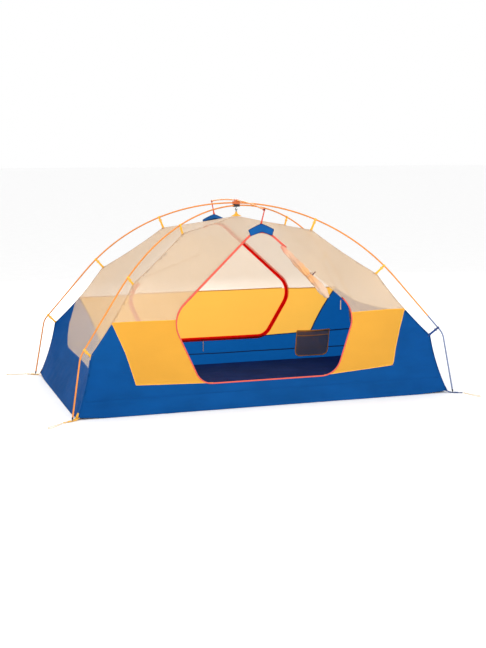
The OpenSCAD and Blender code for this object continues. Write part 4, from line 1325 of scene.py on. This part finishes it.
for sx, side_name in ((-1, "left"), (1, "right")):
    key = "webbing_yellow" if sx < 0 else "webbing_blue"
    straps = make(f"corner_webbing_{side_name}", [corner_strap(sx, sy) for sy in (-1, 1)], key,
                  "webbing_yellow", replaces=["corner_straps"] if sx < 0 else [])
    solidify(straps, 0.0016, 0)
    anchors = [hip_tape(sx, sy, 0, 2, np.linspace(0.022, 0.013, 3), 0.0012) for sy in (-1, 1)]
    make(f"corner_anchor_{side_name}", anchors, key, "webbing_yellow")

# ---- the rolled front door

ROLL = [(0.114, 0.890, 0.005), (0.128, 0.876, 0.012), (0.154, 0.850, 0.016), (0.186, 0.816, 0.017),
        (0.220, 0.779, 0.021), (0.248, 0.748, 0.0205), (0.274, 0.720, 0.0175), (0.300, 0.692, 0.0225),
        (0.329, 0.660, 0.0265), (0.353, 0.632, 0.0275), (0.374, 0.605, 0.022), (0.386, 0.588, 0.010)]
ROLL_OUT = 0.010
route = smoothed([(*on_wall(x, z, ROLL_OUT), r) for x, z, r in ROLL], 8)
roll_line, roll_r = route[:, :3], np.maximum(route[:, 3], 0.002)
along = np.gradient(roll_line, axis=0)
along /= np.linalg.norm(along, axis=1)[:, None]
ROUND = 40
verts, uvs = [], []
length = distances(roll_line)
for i, (p, r, d) in enumerate(zip(roll_line, roll_r, along)):
    side = unit(np.cross(d, WALL_OUT))
    for j in range(ROUND):
        a = math.tau * j / ROUND
        turn = a + 5.0 * length[i]
        fold = 0.12 * math.cos(2 * turn) - 0.20 * abs(math.cos(2.5 * turn + 0.6)) ** 14
        rough = 0.30 * noise.noise(Vector((math.cos(a) * 1.3, math.sin(a) * 1.3, length[i] * 34)))
        rough += 0.12 * noise.noise(Vector((math.cos(a) * 4, math.sin(a) * 4, length[i] * 95)))
        reach = r * (0.98 + fold + rough)
        verts.append(p + side * reach * math.cos(a) + WALL_OUT * 0.82 * reach * math.sin(a))
        uvs.append((length[i], a / math.tau))
faces = skin(len(roll_line), ROUND)
roll = make("door_roll", [(verts, faces, uvs)], "rolled_mesh", "rolled_mesh", replaces=["rolled_door"])
smooth_roll = roll.modifiers.new("smooth", "SUBSURF")
smooth_roll.levels = smooth_roll.render_levels = 1


# The elastic tie round the roll.
side = unit(np.cross(unit(on_wall(0.37, 0.62) - on_wall(0.17, 0.86)), WALL_OUT))
tie_out = [(side * math.cos(a), WALL_OUT * math.sin(a)) for a in circle(32)]
tie = [on_wall(0.272, 0.722, ROLL_OUT) + (x + 0.86 * y) * 0.0200 for x, y in tie_out]
make("roll_tie", [tape_mesh(tie, [x + y for x, y in tie_out], 0.005, 0.0015, closed=True)], "binding_tan",
     "toggle_plastic")

TOGGLE_AT = on_wall(0.292, 0.736) + vec(0, -0.048, 0)
half_lathe = [(0.003, 0.0026), (0.007, 0.0038), (0.0115, 0.0040), (0.0132, 0.0033), (0.014, 0.0018)]
lathe = [*((-t, r) for t, r in half_lathe[::-1]), (0, 0.0024), *half_lathe]
axis = vec(math.sin(math.pi / 4), 0, math.cos(math.pi / 4))
profile = smoothed([(t, r, 0) for t, r in lathe], 3)
make("toggle", [tube_mesh([TOGGLE_AT + axis * t for t in profile[:, 0]], profile[:, 1], 20)],
     "toggle_plastic", "toggle_plastic", "toggle", ["door_toggle"])
stem = smoothed([on_wall(0.277, 0.726, 0.026), on_wall(0.286, 0.732, 0.034), TOGGLE_AT + vec(0, 0.004, 0)], 5)
make("toggle_cord", [tube_mesh(stem, 0.0012, 8)], "webbing_maroon", "toggle_plastic")

# ---- sliders and pulls

SHOULDER = door_outline(FRONT_SILL, 0.0, STEPS)[2 * ARC - 1]
SLIDER_ANGLE = math.atan2(slope(DOOR_PEAK) - slope(SHOULDER_Z), -DOOR_HALF[FRONT_SILL]) - math.pi


def slider(flat_point, angle, flip, towards):
    """A zip slider: two shield-shaped plates, a bridge and a bail, on the wall's half of the zip."""
    origin = up_wall(flat_point)
    x_axis = up_wall(flat_point + vec(math.cos(angle), math.sin(angle))) - origin
    y_axis = np.cross(WALL_OUT, x_axis) * towards

    def at(x, y, z):  # millimetres, in the slider's own frame
        return (origin + x_axis * x / 1000 + y_axis * y / 1000 + WALL_OUT * z / 1000) * flip

    shield = [(-7, 0.0), (-7, 4.2), (-5.6, 6.4), (-2.0, 7.0), (2.4, 6.2), (5.8, 4.4), (7, 2.6), (7, 0.0)]
    outline = resampled(smoothed(shield, 3), 0.9)
    parts = []
    for low, high in ((0.7, 2.3), (-2.3, -0.7)):
        rings = [(0.86, low), (1.0, low + 0.35), (1.0, high - 0.5), (0.90, high - 0.12), (0.6, high)]
        verts = [at(x * k, (y - 3.0) * k + 3.0, z) for k, z in rings for x, y in outline]
        parts.append((verts, skin(len(rings), len(outline)), [(v[0], v[2]) for v in verts]))
    bridge = [(4, 0.6, -1.8), (4.4, 0.6, -0.6), (4.4, 0.6, 0.6), (4, 0.6, 1.8)]
    bail = [(-5, 3, -1.9), (-4.6, 3, -3.8), (-2, 3, -4.8), (1.6, 3, -4.6), (3.6, 3, -3.4), (4, 3, -1.9)]
    parts.append(tube_mesh([at(*p) for p in bridge], 0.0011, 10))
    parts.append(tube_mesh(smoothed([at(*p) for p in bail], 4), 0.0007, 8))
    return parts


def pull(at, length, inward):
    """A cord pull: a ring through the slider's bail, and a doubled flat cord with a knot at its end."""
    ring = [at + vec(0, 0.0026 * math.cos(a), 0.0026 * math.sin(a)) for a in circle(24)]
    cords = []
    for side in (1, -1):
        down = [(side * 0.0003, 0, -0.0026), (side * 0.0012, 0, -0.008),
                (side * 0.0013, inward * 0.0006, -length * 0.5), (side * 0.0011, 0, -length + 0.010),
                (side * 0.0004, 0, -length + 0.004)]
        cords.append(tube_mesh(smoothed([at + vec(*p) for p in down], 5), 0.0011, 8))
    knot = smoothed([at + vec(0, 0, -length + up) for up in (0.011, 0.007, 0)], 6)
    radii = np.interp(np.linspace(0, 1, len(knot)), [0, 0.25, 0.6, 0.85, 1],
                      [0.0012, 0.0027, 0.0024, 0.0026, 0.0014])
    cords.append(tube_mesh(knot, radii, 12))
    return [tube_mesh(ring, 0.0006, 8, closed=True)], cords


REAR_SLIDER = vec(-0.036, slope(REAR_SILL))
FRONT_PULL_AT = up_wall(SHOULDER) + vec(-0.006, 0.009, -0.009)
REAR_PULL_AT = (up_wall(REAR_SLIDER) + vec(0, 0.009, -0.007)) * MIRROR
make("slider_front", slider(SHOULDER, SLIDER_ANGLE, AS_IS, 1), "slider_metal", "slider_metal",
     "front_slider", ["front_slider"])
make("slider_rear", slider(REAR_SLIDER, 0.0, MIRROR, -1), "slider_metal", "slider_metal",
     "rear_slider", ["rear_slider"])
for name, at, length, inward in (("front", FRONT_PULL_AT, 0.058, 1), ("rear", REAR_PULL_AT, 0.075, -1)):
    metal, cords = pull(at, length, inward)
    make(f"pull_ring_{name}", metal, "slider_metal", "slider_metal", f"{name}_pull")
    make(f"pull_cord_{name}", cords, "pull_cord", "pull_cord", f"{name}_pull", [f"{name}_pull"])

# ---- pocket

POCKET_X, POCKET_Z, POCKET_DEPTH = (0.635, 0.873), (0.023, 0.207), 0.018
POCKET_R, POCKET_PITCH = 0.035, 0.008
net = Pattern(POCKET_PITCH)
pocket_outline = [vec(POCKET_X[0], POCKET_Z[1])]
for x, first in ((POCKET_X[0] + POCKET_R, math.pi), (POCKET_X[1] - POCKET_R, math.pi * 1.5)):
    for a in np.linspace(first, first + math.pi / 2, 9):
        pocket_outline.append(vec(x + POCKET_R * math.cos(a), POCKET_Z[0] + POCKET_R * (1 + math.sin(a))))
pocket_outline.append(vec(POCKET_X[1], POCKET_Z[1]))
sewn = resampled(pocket_outline, POCKET_PITCH)


def pocket_place(p):
    """The pocket stands off the wall most at the middle of its mouth."""
    u = (p[0] - POCKET_X[0]) / (POCKET_X[1] - POCKET_X[0])
    v = (p[1] - POCKET_Z[0]) / (POCKET_Z[1] - POCKET_Z[0])
    off = 0.0065 + POCKET_DEPTH * max(0.0, math.sin(math.pi * u)) ** 0.7 * max(0.0, v) ** 0.6 * 0.8
    ripple = 0.0015 * noise.noise(Vector((p[0] * 30, p[1] * 12, 1.0)))
    return on_wall(p[0], p[1], -off - ripple) * MIRROR


mouth = straight(vec(POCKET_X[1], POCKET_Z[1]), vec(POCKET_X[0], POCKET_Z[1]), POCKET_PITCH)
net.line("sewn", sewn, [pocket_place(p) for p in sewn])
net.line("mouth", mouth, [pocket_place(p) for p in mouth])
net.solve(net.lines["sewn"] + net.lines["mouth"][1:-1])
net.place = np.array([pocket_place(p) for p in net.flat])
pocket_piece = make("pocket_net", [net.part()], "pocket_mesh", "pocket_mesh", replaces=["mesh_pocket"])
cut_from([net.part()])
inward = WALL_OUT * MIRROR
trims = [tape_mesh([pocket_place(p) for p in sewn], inward, 0.008, 0.0016)]
for drop, width in ((0.0, 0.009), (0.036, 0.006)):
    row = [pocket_place(p - vec(0, drop)) - inward * 0.0006 for p in mouth]
    trims.append(tape_mesh(row, inward, width, 0.0014))
make("pocket_binding", trims, "binding_brown", "pocket_mesh")


# ---- ground

FAR, BELOW = 60, -0.001
ground_corners = [(-FAR, -FAR, BELOW), (FAR, -FAR, BELOW), (FAR, FAR, BELOW), (-FAR, FAR, BELOW)]
ground = mesh_object("ground", ground_corners, [(0, 1, 2, 3)])
ground_shader = Shader("pale_ground", 0.9, Specular_IOR_Level=0.1)
paper = ground_shader.noise(ground_shader.coordinates("Object"), 6.0)
ground_tone = ground_shader.ramp(paper, (0.3, (0.955,) * 3), (0.7, (0.975,) * 3))
ground_shader.set("Base Color", ground_tone)
ground.data.materials.append(ground_shader.mat)
